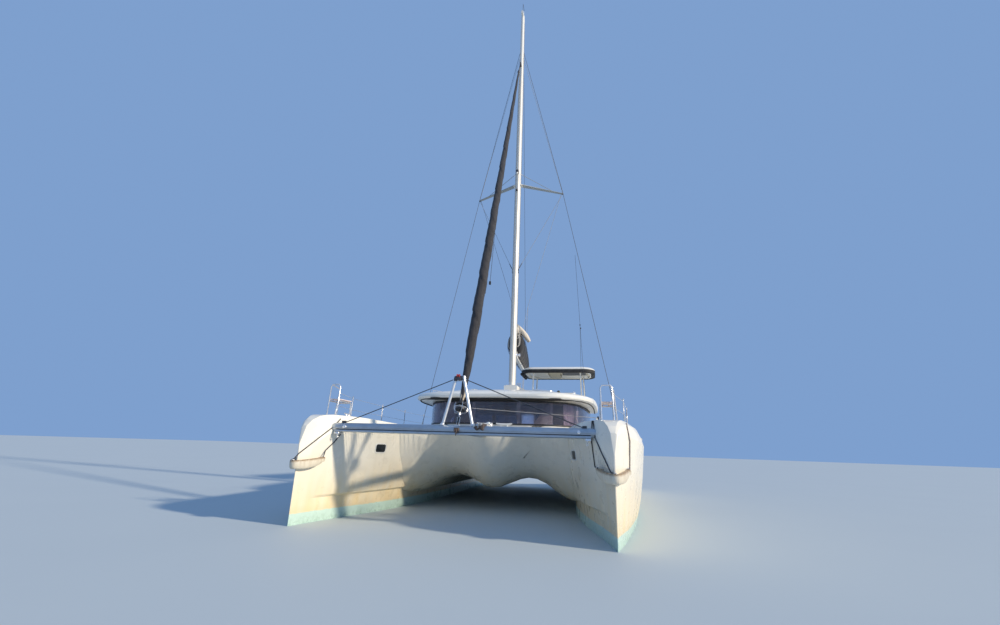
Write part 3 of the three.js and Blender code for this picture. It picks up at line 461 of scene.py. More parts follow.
def rope_look(name, colour, fleck):
    """Braided rope with flecks of a second colour, and painted shade in the grooves between the strands."""
    k = Look(name, colour, 0.8, Sheen_Weight=0.2)
    braid = k.math("MULTIPLY", k.wave(190, "DIAGONAL"), k.wave(190, "DIAGONAL", (1, -1, 1)))
    # painted shade: the rope is darker where the braid pattern is low, in the grooves between the strands
    k.tint(k.ramp(braid, 0.15, 0.6, (0.6, 0)), shade(colour, 0.4))
    k.tint(k.ramp(k.noise(60, 3), 0.55, 0.6, (0, 0.8)), fleck)
    k.bump(braid, 0.0012, 0.8)
    k.roughness(k.noise(40, 2), 0.7, 0.92)
    return k.material


def glass(name, colour, through):
    """Tinted glazing with salt bloom and dust."""
    rough = 0.04
    k = Look(name, colour, rough, Transmission_Weight=through, IOR=1.46, Coat_Weight=0.3, Coat_Roughness=0.05)
    k.tint(k.ramp(k.noise(5, 4), 0.45, 0.8, (0, 0.35)), shade(colour, 1.9, 0.015))
    k.tint(k.ramp(k.noise(90, 5, rough=0.7), 0.62, 0.8, (0, 0.3)), (0.35, 0.35, 0.33))
    k.bump(k.noise(1.5, 1), 0.002, 0.12)
    k.roughness(k.noise(8, 4), rough, rough + 0.16)
    return k.material


def plastic(name, colour, rough, scuff=0.3):
    """Moulded plastic or rubber with a fine grain, pale scuffs and dark specks."""
    k = Look(name, colour, rough)
    k.tint(k.ramp(k.noise(11, 4), 0.45, 0.7, (0, scuff)), shade(colour, 1.5, 0.03))
    k.tint(k.ramp(k.noise(70, 4), 0.64, 0.74, (0, scuff)), shade(colour, 0.5))
    k.bump(k.cells(420), 0.0003, 0.5)
    k.roughness(k.noise(14, 3), max(0.1, rough - 0.1), min(1, rough + 0.15))
    return k.material


def timber(name, light, dark, along="Y", rough=0.55):
    """Oiled or bleached boards with the grain along one axis."""
    k = Look(name, light, rough)
    stretch = {"X": (0.12, 1, 1), "Y": (1, 0.12, 1), "Z": (1, 1, 0.12)}[along]
    k.tint(k.ramp(k.noise(34, 6, stretch, distortion=1.2), 0.38, 0.62), dark)
    k.tint(k.ramp(k.noise(150, 3, stretch), 0.58, 0.7, (0, 0.5)), shade(dark, 0.45))
    k.tint(k.ramp(k.noise(2.5, 3), 0.45, 0.75, (0, 0.35)), (0.55, 0.50, 0.44))
    k.bump(k.noise(60, 5, stretch), 0.0008, 0.5)
    k.roughness(k.noise(22, 3, stretch), rough - 0.12, rough + 0.15)
    return k.material


def vinyl_look():
    """Cream coated fabric of the bow fenders: grime on the upper rim and runs down from it."""
    k = Look("fender_vinyl", (0.72, 0.66, 0.53), 0.5, Sheen_Weight=0.1)
    z = k.axis("Z")
    k.tint(k.ramp(k.noise(7, 4), 0.4, 0.7, (0, 0.4)), (0.60, 0.53, 0.40))
    upper = k.math("SUBTRACT", z, k.ramp(k.axis("Y"), -6.53, -5.94, (0, 0.065)))
    rim = k.math("MULTIPLY", k.ramp(upper, 1.075, 1.115), k.ramp(k.noise(16, 4), 0.25, 0.55, (0.5, 1)))
    k.tint(rim, (0.28, 0.18, 0.09))
    runs = k.math("MULTIPLY", k.ramp(z, 0.97, 1.12),
                  k.ramp(k.noise(24, 3, (1, 1, 0.1)), 0.45, 0.65, (0, 0.4)))
    k.tint(runs, (0.42, 0.32, 0.20))
    k.bump(k.noise(13, 3), 0.004, 0.35)
    k.bump(k.cells(500), 0.0003, 0.5)
    k.roughness(k.noise(18, 3), 0.4, 0.65)
    return k.material


def antifouling():
    """Worn green bottom paint with slime and small barnacles."""
    k = Look("antifouling", (0.55, 0.73, 0.66), 0.8)
    k.tint(k.ramp(k.noise(3, 5, rough=0.7), 0.4, 0.65, (0, 0.6)), (0.28, 0.44, 0.37))
    k.tint(k.ramp(k.cells(60), 0.0, 0.25, (0.5, 0)), (0.50, 0.52, 0.42))
    k.bump(k.noise(90, 4), 0.002, 0.6)
    k.roughness(k.noise(9, 3), 0.7, 0.95)
    return k.material


HULL = gelcoat("hull_gelcoat", (0.87, 0.83, 0.72), 0.27, grip=True, afloat=True)
DECK = gelcoat("deck_gelcoat", (0.86, 0.83, 0.73), 0.34, grip=True)
ROOF = gelcoat("roof_gelcoat", (0.87, 0.85, 0.77), 0.28, grip=True)
CABIN = gelcoat("cabin_gelcoat", (0.85, 0.82, 0.73), 0.3)
BEAM = metal("beam_alloy", (0.47, 0.52, 0.57), 0.38, (0.02, 1, 1), 0.35)
SPAR = metal("spar_paint", (0.83, 0.80, 0.72), 0.34, (1, 1, 0.02), 0.16, metallic=0.15)
BRIGHT = metal("bright_alloy", (0.84, 0.85, 0.85), 0.3, (1, 1, 0.05), 0.15, metallic=0.75)
STEEL = metal("polished_steel", (0.86, 0.86, 0.86), 0.26, dull=0.18, metallic=0.8)
DARK_METAL = metal("dark_castings", (0.09, 0.09, 0.10), 0.45, dull=0.3, metallic=0.5)
BRONZE = metal("bronze", (0.42, 0.31, 0.16), 0.4, dull=0.5)
RUSTY = metal("rusty_casting", (0.11, 0.085, 0.075), 0.6, dull=0.3, metallic=0.4)
IRON = metal("engine_paint", (0.26, 0.29, 0.31), 0.5, metallic=0.3, dull=0.4)
WIRE = metal("stay_wire", (0.10, 0.105, 0.12), 0.6, (1, 1, 6), 0.3, metallic=0.1)
BLACK = plastic("black_plastic", (0.022, 0.023, 0.026), 0.45)
RUBBER = plastic("black_rubber", (0.018, 0.018, 0.019), 0.7, 0.5)
WHITE = plastic("white_plastic", (0.78, 0.77, 0.72), 0.4, 0.2)
GREY = plastic("grey_plastic", (0.42, 0.43, 0.43), 0.5)
RED = plastic("red_plastic", (0.42, 0.045, 0.04), 0.45)
HULL_GLASS = glass("hull_glazing", (0.012, 0.014, 0.018), 0.0)
CABIN_GLASS = glass("saloon_glazing", (0.56, 0.51, 0.59), 0.95)
AFT_GLASS = glass("aft_glazing", (0.15, 0.145, 0.17), 0.85)
SMOKED = glass("smoked_acrylic", (0.03, 0.034, 0.04), 0.35)
BOTTOM = antifouling()
SEAT_WOOD = timber("seat_teak", (0.46, 0.33, 0.26), (0.33, 0.21, 0.155), "X")
BLEACHED = timber("bleached_seat_slats", (0.92, 0.81, 0.77), (0.82, 0.67, 0.63), "X")
TABLE_WOOD = timber("table_oak", (0.50, 0.38, 0.25), (0.36, 0.24, 0.14), "X", 0.4)
JOINERY = timber("joinery_oak", (0.42, 0.33, 0.24), (0.30, 0.22, 0.15), "Z", 0.4)
FLOOR_WOOD = timber("floor_boards", (0.33, 0.25, 0.17), (0.22, 0.155, 0.10), "Y", 0.45)
CUSHION = cloth("cushion_cloth", (0.50, 0.48, 0.44), (0.40, 0.38, 0.35), 600, 0.9)
PIPING = cloth("cushion_piping", (0.20, 0.20, 0.21), (0.14, 0.14, 0.15), 900)
CURTAIN = cloth("curtain_cloth", (0.80, 0.72, 0.78), (0.62, 0.50, 0.62), 900, 0.9)
SAIL = cloth("sail_cloth", (0.72, 0.65, 0.54), (0.52, 0.43, 0.33), 800, 0.7, 0.006, 0.15)
BAG = cloth("bag_canvas", (0.020, 0.021, 0.024), (0.010, 0.010, 0.012), 600, 0.9, 0.008, 0.12)
ROLLED = cloth("rolled_sail_cloth", (0.034, 0.033, 0.037), (0.015, 0.015, 0.018), 500, 0.85, 0.01, 0.1)
TAPE = cloth("tack_webbing", (0.66, 0.60, 0.48), (0.48, 0.33, 0.17), 900)
NET = cloth("net_webbing", (0.66, 0.64, 0.58), (0.50, 0.48, 0.42), 900, 0.9)
VINYL = vinyl_look()
ROPE_DARK = rope_look("dark_rope", (0.035, 0.036, 0.045), (0.10, 0.10, 0.12))
ROPE_BROWN = rope_look("brown_rope", (0.42, 0.33, 0.28), (0.56, 0.48, 0.42))
ROPE_GREY = rope_look("grey_rope", (0.40, 0.40, 0.39), (0.16, 0.17, 0.20))
ROPE_PALE = rope_look("pale_rope", (0.60, 0.57, 0.50), (0.20, 0.22, 0.30))
PANEL_PALE = plastic("pale_panel", (0.66, 0.66, 0.61), 0.45, 0.15)
PANEL_BEIGE = plastic("beige_panel", (0.44, 0.42, 0.33), 0.6, 0.2)


def mast_look():
    """Cream paint on the mast, and dull grey on the spreaders."""
    k = Look("mast_paint", (0.83, 0.80, 0.72), 0.34, Metallic=0.15)
    k.tint(k.ramp(k.noise(6, 4), 0.45, 0.75, (0, 0.16)), (0.52, 0.50, 0.45))
    out = k.math("ABSOLUTE", k.axis("X"))
    low = k.math("ADD", k.math("MULTIPLY", out, 0.5), k.axis("Z"))
    k.tint(k.math("MULTIPLY", k.ramp(out, 0.15, 0.19), k.ramp(low, 11.86, 11.80)), (0.36, 0.38, 0.37))
    k.bump(k.noise(240, 2, (1, 1, 0.02)), 0.0003, 0.35)
    k.roughness(k.noise(12, 3), 0.26, 0.48)
    return k.material


def leg_look():
    """Bright tube for the two legs, and dark wire outboard of them."""
    k = Look("leg_alloy_and_wire", (0.78, 0.80, 0.82), 0.32, Metallic=0.6)
    k.tint(k.ramp(k.noise(9, 4), 0.45, 0.75, (0, 0.3)), (0.50, 0.52, 0.54))
    outboard = k.math("MULTIPLY", k.math("ABSOLUTE", k.axis("X")), 4.0)
    k.tint(k.ramp(k.math("ADD", outboard, k.axis("Z")), 3.27, 3.31), (0.07, 0.072, 0.08))
    k.bump(k.noise(240, 2, (1, 1, 0.05)), 0.0003, 0.35)
    k.roughness(k.noise(12, 3), 0.26, 0.5)
    return k.material


# CAD nodes
# Each node's look, the angle in degrees that stays sharp, and the width of its softened edges.
SIDE_NODES = (
    ("hull", HULL, 20, 0.010), ("locker_lid", DECK, 30, 0.008), ("engine_hatch", DECK, 30, 0.008),
    ("bow_hatch", SMOKED, 30, 0.006), ("keel", BOTTOM, 60, 0), ("rudder", BOTTOM, 50, 0),
    ("saildrive", BOTTOM, 45, 0), ("propeller", BRONZE, 40, 0.002), ("engine", IRON, 30, 0.015),
    ("pulpit", STEEL, 75, 0), ("lifeline", STEEL, 75, 0), ("pushpit", STEEL, 75, 0),
    ("cap_shroud_upper", WIRE, 75, 0), ("cap_shroud_lower", WIRE, 75, 0),
)
MIDDLE_NODES = (
    ("bridgedeck", HULL, 30, 0.012), ("crossbeam", BEAM, 40, 0.003), ("bow_spine", BEAM, 30, 0.01),
    ("a_frame", leg_look(), 60, 0), ("saloon_walls", CABIN, 25, 0.006), ("saloon_glass", CABIN_GLASS, 30, 0),
    ("aft_bulkhead", CABIN, 30, 0.006), ("saloon_door", AFT_GLASS, 30, 0.004), ("coachroof", ROOF, 30, 0.012),
    ("helm_hardtop", ROOF, 38, 0.006), ("helm_station", DECK, 30, 0.02), ("cockpit_bench", DECK, 30, 0.02),
    ("cockpit_table", TABLE_WOOD, 40, 0.008), ("settee", JOINERY, 30, 0.01), ("galley", JOINERY, 30, 0.01),
    ("helm_wheel", STEEL, 60, 0), ("mast", mast_look(), 40, 0), ("boom", SPAR, 35, 0.003),
)
for side, _ in SIDES:
    for node, *finish in SIDE_NODES:
        dressed(f"{node}_{side}", *finish)
    paint(AFT_GLASS, f"aft_window_{side}")
for node, *finish in MIDDLE_NODES:
    dressed(node, *finish)

# bows
FENDER = {"nose": -6.53, "tail": -5.94, "low": 0.965, "top": 1.12, "tail_low": 1.10, "tail_top": 1.185}


def bow_fender(side, s):
    """A crescent of stuffed vinyl hung round the stem, full at the nose, with thin raised ends."""
    hull = f"hull_{side}"
    plan = [(-0.275, -5.945), (-0.287, -6.02), (-0.18, -6.31), (-0.08, -6.475), (0, -6.515),
            (0.08, -6.475), (0.165, -6.31), (0.248, -6.02), (0.238, -5.945)]
    path = curve_through([(s * (HULL_X + x), y, 0) for x, y in plan], 6)
    rings, rim, n = [], [], len(path) - 1
    for k, q in enumerate(path):
        along = (path[min(k + 1, n)] - path[max(k - 1, 0)]).normalized()
        inward = Vector((-along.y, along.x, 0)) * s
        if inward.dot(Vector((s * HULL_X, -5.4, 0)) - q) < 0:
            inward.negate()
        back = min(1, max(0, (q.y - FENDER["nose"]) / (FENDER["tail"] - FENDER["nose"])))
        top = FENDER["top"] + (FENDER["tail_top"] - FENDER["top"]) * back
        low = FENDER["low"] + (FENDER["tail_low"] - FENDER["low"]) * back ** 3.4
        end = min(1, 0.6 + min(k, n - k) / 8)
        low = top - (top - low) * end
        point, _, _, far = tree_of(hull).ray_cast(Vector((q.x, q.y, 1.1)), inward)
        deep = min(far, 0.3) if point else 0.12
        tall = top - low
        profile = ((1.0, top - 0.012), (0.5, top), (0.10, top - 0.004), (0.0, top - 0.02),
                   (0.0, top - 0.45 * tall), (0.06, top - 0.75 * tall), (0.22, low + 0.04 * tall), (0.5, low),
                   (1.0, low + 0.03 * tall))
        rings.append([(q.x + inward.x * deep * u, q.y + inward.y * deep * u, z) for u, z in profile])
        rim.append((q.x + inward.x * 0.014, q.y + inward.y * 0.014, top - 0.008))
    node = f"bow_fender_{side}"
    o = piece(f"{node}_cover", loft(rings), VINYL, replaces=[node], sharp=60, subdivide=1)
    piece(f"{node}_bead", tube(rim, 0.009, 6), VINYL)
    rings_at = [Vector(rim[k]) + Vector((0, 0, 0.012)) for k in (1, n // 2, n - 1)]
    loops = [moved(ring_shape(0.02, 0.005), on_face(p, (0, 1, 0.3))) for p in rings_at]
    piece(f"bow_fender_{side}_eyes", loops, STEEL)
    return rings_at


def ring_shape(radius, bar, sides=18, around=8):
    rings = []
    for i in range(sides + 1):
        a = 2 * pi * i / sides
        rings.append([((radius + bar * cos(b)) * cos(a), (radius + bar * cos(b)) * sin(a),
                       bar * sin(b)) for b in (2 * pi * j / around for j in range(around))])
    return loft(rings, caps=False)


def over_hull(side, pixels):
    """Points just off the hull, under straight lines between pixels of the photograph."""
    off, steps, out = 0.009, 7, []
    for (ax, ay), (bx, by) in zip(pixels, pixels[1:]):
        for k in range(steps + 1):
            t = k / steps
            ray = pixel_ray(ax + (bx - ax) * t, ay + (by - ay) * t)
            point, normal, _, _ = tree_of(f"hull_{side}").ray_cast(CAMERA, ray.normalized())
            if point and (not out or (point - out[-1]).length > 0.01):
                out.append(point + normal * (off if normal.dot(ray) < 0 else -off))
    return out


FENDER_EYES = {side: bow_fender(side, s) for side, s in SIDES}
LANYARDS = {
    "port": [[(592.5, 421), (591.8, 440), (595.4, 467)], [(593.5, 421), (595.5, 438), (603, 455), (611, 472)],
             [(625.5, 421), (629.5, 441), (629.3, 470)]],
    "starboard": [[(342, 432), (334, 442), (325, 450.5)],
                  [(340.5, 419), (333, 427), (316, 440), (298.5, 453.5)]],
}
for side, runs in LANYARDS.items():
    lines = [tube([*over_hull(side, run), eye], 0.0105, 8) for run, eye in zip(runs, FENDER_EYES[side])]
    piece(f"fender_lanyards_{side}", merged(*lines[:2]), ROPE_DARK)
    if lines[2:]:
        piece(f"fender_lanyard_outer_{side}", merged(*lines[2:]), ROPE_BROWN)


def portlight(side, s):
    """A small dark window with a pale frame on the inner side of each bow."""
    point, normal = hit((s * 1.2, -4.51, 1.37), (s, 0, 0), f"hull_{side}")
    m = on_face(point, normal)
    outline = rounded(0.148, 0.085, 0.045, 5)
    steps = ((-0.024, -0.004), (-0.022, 0.010), (-0.013, 0.014), (0.0, 0.012), (0.003, 0.002))
    frame_shape = stepped(outline, steps)
    piece(f"portlight_frame_{side}", moved(frame_shape, m), WHITE, sharp=40)
    piece(f"portlight_{side}", moved(slab(outline, -0.002, 0.006, 0.003), m), HULL_GLASS)


for side, s in SIDES:
    portlight(side, s)


def seat_slats(side, s):
    """Bleached slats with round edges on two bearers, in the outline of the pulpit's seat."""
    low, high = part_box(f"pulpit_seat_{side}")
    inner, rows = s * 2.69, 7
    front, aft = low[1], high[1]
    pitch = (aft - front) / rows
    slats = []
    for k in range(rows):
        y0, y1 = front + k * pitch + 0.004, front + (k + 1) * pitch - 0.004
        outer = s * (2.925 + 0.025 * min(1, (y1 - front) / 0.37))
        slats.append(block(*sorted((inner, outer)), y0, y1, low[2] + 0.014, high[2], 0.006))
    for x in (s * 2.735, s * 2.865):
        slats.append(block(x - 0.018, x + 0.018, front + 0.01, aft - 0.01, low[2] + 0.001, low[2] + 0.012,
                           0.004))
    piece(f"pulpit_seat_{side}_slats", slats, BLEACHED, replaces=[f"pulpit_seat_{side}"])


def bow_hatch_trim(node):
    """A framed acrylic hatch: alloy frame and two hinges, with two lever handles inside the pane."""
    (x0, y0, _), (x1, y1, top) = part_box(node)
    x, y = (x0 + x1) / 2, (y0 + y1) / 2
    outline = rounded(0.292, 0.292, 0.06, 5)
    frame_shape = shifted(stepped(outline, ((0.001, -0.024), (-0.001, -0.003), (0.003, 0.002), (0.034, 0.002),
                                            (0.038, -0.002))), x, y, top)
    levers = [merged(lathe([(0.026, 0), (0.028, 0.01), (0.02, 0.016)], 18, (x + u, y + 0.19, top)),
                     block(x + u - 0.008, x + u + 0.008, y + 0.12, y + 0.19, top + 0.006, top + 0.018, 0.006))
              for u in (-0.13, 0.13)]
    hinges = [block(u - 0.045, u + 0.045, y0 + 0.008, y0 + 0.05, top + 0.001, top + 0.010, 0.004)
              for u in (x - 0.17, x + 0.17)]
    piece(f"{node}_frame", [frame_shape, *hinges], BRIGHT, node)
    piece(f"{node}_levers", levers, GREY, node)


def hatch_seal(node, latches):
    """A rubber lip round a flush lid, and its lift-up latches."""
    (x0, y0, _), (x1, y1, top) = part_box(node)
    x, y = (x0 + x1) / 2, (y0 + y1) / 2
    outline = rounded((x1 - x0) / 2, (y1 - y0) / 2, 0.06, 5)
    lip = stepped(outline, ((0.001, -0.022), (-0.003, -0.014), (-0.001, -0.006), (0.004, -0.006)))
    piece(f"{node}_lip", shifted(lip, x, y, top), RUBBER, node)
    pulls = []
    for u, v in latches:
        pull = merged(lathe([(0.032, 0), (0.033, 0.003), (0.028, 0.005), (0.024, 0.002)], 20),
                      block(-0.006, 0.006, -0.022, 0.022, 0.001, 0.007, 0.005))
        pulls.append(shifted(pull, x + u, y + v, top))
    piece(f"{node}_latches", pulls, STEEL, node)


for side, s in SIDES:
    seat_slats(side, s)
    bow_hatch_trim(f"bow_hatch_{side}")
    hatch_seal(f"engine_hatch_{side}", [(-0.25, 0.48), (0.25, 0.48)])
    hatch_seal(f"locker_lid_{side}", [(0, -0.2)])


def horn_cleat(at, along, size=1.0):
    """A two-horned cleat on two legs, along a direction of the deck."""
    along, up = Vector(along) * size, Vector((0, 0, size))
    line = ((-0.115, 0.060), (-0.05, 0.048), (0.05, 0.048), (0.115, 0.060))
    horns = tube([at + along * u + up * v for u, v in line], [r * size for r in (0.008, 0.015, 0.015, 0.008)],
                 10, 5)
    profile = [(r * size, h * size) for r, h in ((0.024, 0), (0.013, 0.02), (0.012, 0.048))]
    return merged(horns, *(lathe(profile, 12, at + along * u) for u in (-0.045, 0.045)))


def deck_point(x, y, *nodes, high=2.6):
    return hit((x, y, high), (0, 0, -1), *nodes)


# Places on each side deck: distance from the boat's middle, and y.
CLEATS = ((2.62, -5.27), (3.45, -1.1), (3.42, 3.9))
STANCHIONS = ((3.2, -4.15), (3.4, -2.15), (3.52, -0.3), (3.59, 1.55), (3.62, 3.2))
for side, s in SIDES:
    cleats = [horn_cleat(deck_point(s * x, y, f"hull_{side}")[0], (0, 1, 0), 1.15) for x, y in CLEATS]
    piece(f"mooring_cleats_{side}", cleats, BRIGHT)
    bases = []
    for x, y in STANCHIONS:
        foot = deck_point(s * x, y, f"hull_{side}")[0]
        profile = ((0.038, 0), (0.038, 0.006), (0.024, 0.012), (0.020, 0.05), (0.017, 0.055))
        bases.append(lathe(profile, 18, foot))
        bases.append(lathe([(0.017, 0), (0.019, 0.02), (0.008, 0.034)], 14, (s * x, y, 2.53)))
    piece(f"stanchion_bases_{side}", bases, STEEL)


def hull_glazing(side, s):
    """A long dark window bonded on the outer topsides, with two narrow frames."""
    low_line = [(-1.9, 1.33), (-1.6, 1.15), (1.95, 1.13), (2.08, 1.33)]
    high_line = [(-1.9, 1.33), (-1.75, 1.42), (1.9, 1.44), (2.08, 1.33)]
    seal_line = [(-1.9, 1.33), (-1.6, 1.15), (0.2, 1.14), (1.95, 1.13), (2.08, 1.33), (1.9, 1.44),
                 (0.2, 1.43), (-1.75, 1.42), (-1.9, 1.33)]

    def level(line, y):
        a, b = next((a, b) for a, b in zip(line, line[1:]) if y <= b[0] + 1e-9)
        return a[1] + (b[1] - a[1]) * (y - a[0]) / (b[0] - a[0])

    def on_side(y, z, off):
        point, normal = hit((s * 6, y, z), (-s, 0, 0), f"hull_{side}")
        return point + normal * off

    rows, columns = 40, 5
    rings = []
    for k in range(rows + 1):
        y = -1.895 + (2.075 + 1.895) * k / rows
        z0, z1 = level(low_line, y) - 0.002, level(high_line, y) + 0.002
        outer = [on_side(y, z0 + (z1 - z0) * j / columns, 0.006) for j in range(columns + 1)]
        inner = [on_side(y, z0 + (z1 - z0) * j / columns, -0.004) for j in range(columns, -1, -1)]
        rings.append(outer + inner)
    piece(f"hull_window_{side}", loft(rings), HULL_GLASS, sharp=30)
    edge = [on_side(y, z, 0.004) for y, z in seal_line]
    fine = [q for a, b in zip(edge, edge[1:]) for q in steps_between(a, b, 8)[:-1]]
    fine = [on_side(q.y, q.z, 0.005) for q in fine]
    bars = [tube([*fine, fine[0]], 0.006, 6)]
    for y in (-0.55, 0.75):
        bars.append(tube([on_side(y, 1.15 + 0.27 * j / 5, 0.008) for j in range(6)], 0.010, 6))
    piece(f"hull_window_{side}_seal", bars, RUBBER)
    rail = [on_side(y, 1.72, 0.006) for y in (-4.6 + 0.4 * k for k in range(23))]
    piece(f"rubbing_strake_{side}", tube(rail, 0.014, 8), WHITE)


for side, s in SIDES:
    hull_glazing(side, s)

# crossbeam: a groove and a lower lip along its front, end fittings, and the A-frame's head and feet
BEAM_Y, BEAM_Z, BEAM_HALF = -5.725, 1.757, 2.515
profile = [(-0.096, 0.066), (-0.120, 0.052), (-0.127, 0.03), (-0.127, 0), (-0.104, -0.004), (-0.104, -0.044),
           (-0.127, -0.048), (-0.130, -0.078), (-0.118, -0.090), (-0.085, -0.086), (-0.07, -0.03),
           (-0.07, 0.05)]
track = loft([[(x, BEAM_Y + y, BEAM_Z + z) for y, z in profile] for x in (-BEAM_HALF, BEAM_HALF)])
piece("beam_track", track, BEAM, sharp=28, bevel=0.002)
groove = block(0.01 - BEAM_HALF, BEAM_HALF - 0.01, -0.106, -0.098, -0.044, -0.004, 0.002)
piece("beam_groove", shifted(groove, 0, BEAM_Y, BEAM_Z), RUBBER)
ends = []
for s in (-1, 1):
    ends += [
        block(s * 2.46 - 0.05, s * 2.46 + 0.05, -0.138, 0.02, -0.13, -0.092, 0.012),
        moved(ring_shape(0.024, 0.007), on_face((s * 2.44, -0.12, -0.15), (1, 0.2, 0))),
        moved(ring_shape(0.02, 0.006), on_face((s * 2.44, -0.12, -0.188), (0.2, 1, 0))),
        lathe([(0.03, 0), (0.036, 0.008), (0.03, 0.022), (0.012, 0.03)], 16, (s * 2.3, -0.128, 0.01),
              (0, -1, 0)),
    ]
piece("beam_end_fittings", shifted(merged(*ends), 0, BEAM_Y, BEAM_Z), STEEL)

APEX = Vector((0, BEAM_Y, 2.745))
head = [
    moved(slab(rounded(0.105, 0.045, 0.03), -0.03, 0.03, 0.008),
          on_face(APEX + Vector((0, 0, 0.01)), (0, -1, 0))),
    lathe([(0.034, -0.05), (0.04, 0), (0.036, 0.04), (0.012, 0.052)], 16, APEX + Vector((-0.085, 0, 0)),
          (0.1, 0, 1)),
    lathe([(0.03, -0.03), (0.034, 0), (0.03, 0.03)], 16, APEX + Vector((0, -0.05, -0.01)), (0, -1, 0)),
]
piece("a_frame_head", head, DARK_METAL)
piece("a_frame_cap", lathe([(0.034, -0.02), (0.036, 0.03), (0.028, 0.055), (0.008, 0.064)], 16,
                           APEX + Vector((0.085, 0, 0)), (-0.1, 0, 1)), BRIGHT)
roller = spool((0.012, 0.034, 0.026), (0.034, 0.03), APEX + Vector((-0.03, -0.02, 0.055)), sides=18)
piece("a_frame_roller", roller, RED)
feet = []
for s in (-1, 1):
    foot = Vector((s * 0.31, BEAM_Y, BEAM_Z + 0.086))
    feet += [shifted(slab(rounded(0.055, 0.05, 0.02), 0, 0.01, 0.003), *foot),
             lathe([(0.04, 0), (0.04, 0.03), (0.034, 0.045)], 16, foot, (-s * 0.24, 0, 0.97))]
piece("a_frame_feet", feet, STEEL)

# headsail furler, measured along the forestay from its foot
STAY_FOOT, STAY_HEAD = Vector((0, -5.70, 1.87)), Vector((0, 0.105, 17.0))
STAY = (STAY_HEAD - STAY_FOOT).normalized()
STAY_LENGTH = (STAY_HEAD - STAY_FOOT).length


def up_stay(d):
    return STAY_FOOT + STAY * d


# The roll's radius at distances along the stay.
ROLL_TABLE = ((0.60, 0.030), (0.72, 0.046), (1.0, 0.070), (1.6, 0.096), (2.6, 0.115), (4.0, 0.114),
              (5.6, 0.106), (8.0, 0.093), (10.5, 0.077), (13.0, 0.056), (15.05, 0.034), (15.25, 0.022))


def rolled_sail():
    steps, sides, pitch = 300, 28, 1.15
    side = Vector((1, 0, 0))
    up = STAY.cross(side)
    rings = []
    for k in range(steps + 1):
        d = ROLL_TABLE[0][0] + (ROLL_TABLE[-1][0] - ROLL_TABLE[0][0]) * k / steps
        (d0, r0), (d1, r1) = next((a, b) for a, b in zip(ROLL_TABLE, ROLL_TABLE[1:]) if d <= b[0] + 1e-9)
        r = r0 + (r1 - r0) * (d - d0) / (d1 - d0)
        ring = []
        for j in range(sides):
            a = 2 * pi * j / sides
            turn = (a / (2 * pi) + d / pitch) % 1
            edge = 0.16 * (1 - turn) - 0.09 + 0.035 * sin(9 * a + 5 * d) * sin(2.3 * d)
            crease = 0.02 * sin(21 * d + 3 * a)
            ring.append(up_stay(d) + (side * cos(a) + up * sin(a)) * r * (1 + edge + crease))
        rings.append(ring)
    return loft(rings)


piece("rolled_headsail", rolled_sail(), ROLLED, sharp=50, replaces=["furled_genoa"])
drum = [
    lathe([(0.02, -0.06), (0.02, 0.30)], 12, STAY_FOOT, STAY),
    lathe([(0.10, 0.285), (0.104, 0.295), (0.104, 0.310), (0.06, 0.318), (0.058, 0.392), (0.104, 0.402),
           (0.104, 0.418), (0.05, 0.43), (0.04, 0.50), (0.028, 0.505), (0.028, 0.62)], 28, STAY_FOOT, STAY),
]
piece("furler_drum", drum, BLACK, replaces=["furled_genoa"])
guard = []
for a in (0.35, 1.6, 2.8, 4.0, 5.2):
    out = Vector((cos(a), sin(a), 0))
    out = (out - STAY * out.dot(STAY)).normalized()
    bar = ((0.24, 0.03), (0.25, 0.10), (0.29, 0.135), (0.36, 0.14), (0.42, 0.125))
    guard.append(tube([up_stay(d) + out * r for d, r in bar], 0.005, 6, 4))
guard.append(moved(ring_shape(0.138, 0.004, 28, 6), on_face(up_stay(0.33), STAY, (1, 0, 0))))
piece("furler_guard", guard, STEEL)
toggles = [moved(slab(rounded(0.014, 0.085, 0.013), -0.003, 0.003, 0.001),
                 on_face(up_stay(0.06) + Vector((s * 0.022, 0, 0)), (1, 0, 0), STAY)) for s in (-1, 1)]
toggles += [
    lathe([(0.010, -0.04), (0.010, 0.04)], 12, up_stay(0.135), (1, 0, 0)),
    moved(ring_shape(0.03, 0.008), on_face(up_stay(0.17), (1, 0.3, 0), STAY)),
    lathe([(0.018, 0), (0.024, 0.02), (0.022, 0.07), (0.014, 0.09)], 14, up_stay(0.18), STAY),
    block(-0.055, 0.055, BEAM_Y - 0.04, BEAM_Y + 0.055, BEAM_Z + 0.084, BEAM_Z + 0.10, 0.01),
]
piece("stay_toggles", toggles, STEEL)
drum_side = up_stay(0.35) + Vector((0.06, -0.02, 0))
lead = pixel_at_y(598, 418, -3.6)
foot = deck_point(lead.x, lead.y, "hull_port")[0]
post = ((0.05, -0.002), (0.05, 0.008), (0.022, 0.02), (0.020, lead.z - foot.z - 0.03))
bullseye = [lathe(post, 18, foot), moved(ring_shape(0.026, 0.013), on_face(lead, (1, 0.5, 0)))]
piece("furling_line_lead", bullseye, BLACK)
piece("furling_line", tube(steps_between(drum_side, lead, 14), 0.006, 8), ROPE_GREY)
athwart = Vector((1, 0, 0))
turns = [up_stay(0.33 + 0.05 * k / 90) + (athwart * cos(k / 3) + STAY.cross(athwart) * sin(k / 3)) * 0.068
         for k in range(91)]
piece("furling_line_turns", tube(turns, 0.0055, 6), ROPE_GREY)
tack = []
for k in range(5):
    a = 0.5 + k * 1.3
    out = Vector((cos(a), sin(a) * 0.5, 0)) * 0.036
    strip = [up_stay(d) + out * by for d, by in ((0.50, 0.7), (0.58, 1), (0.68, 1.35), (0.80, 1.5))]
    tack.append(tube(strip, (0.010, 0.014, 0.012, 0.006), 6, 4))
piece("sail_tack_webbing", tack, TAPE)
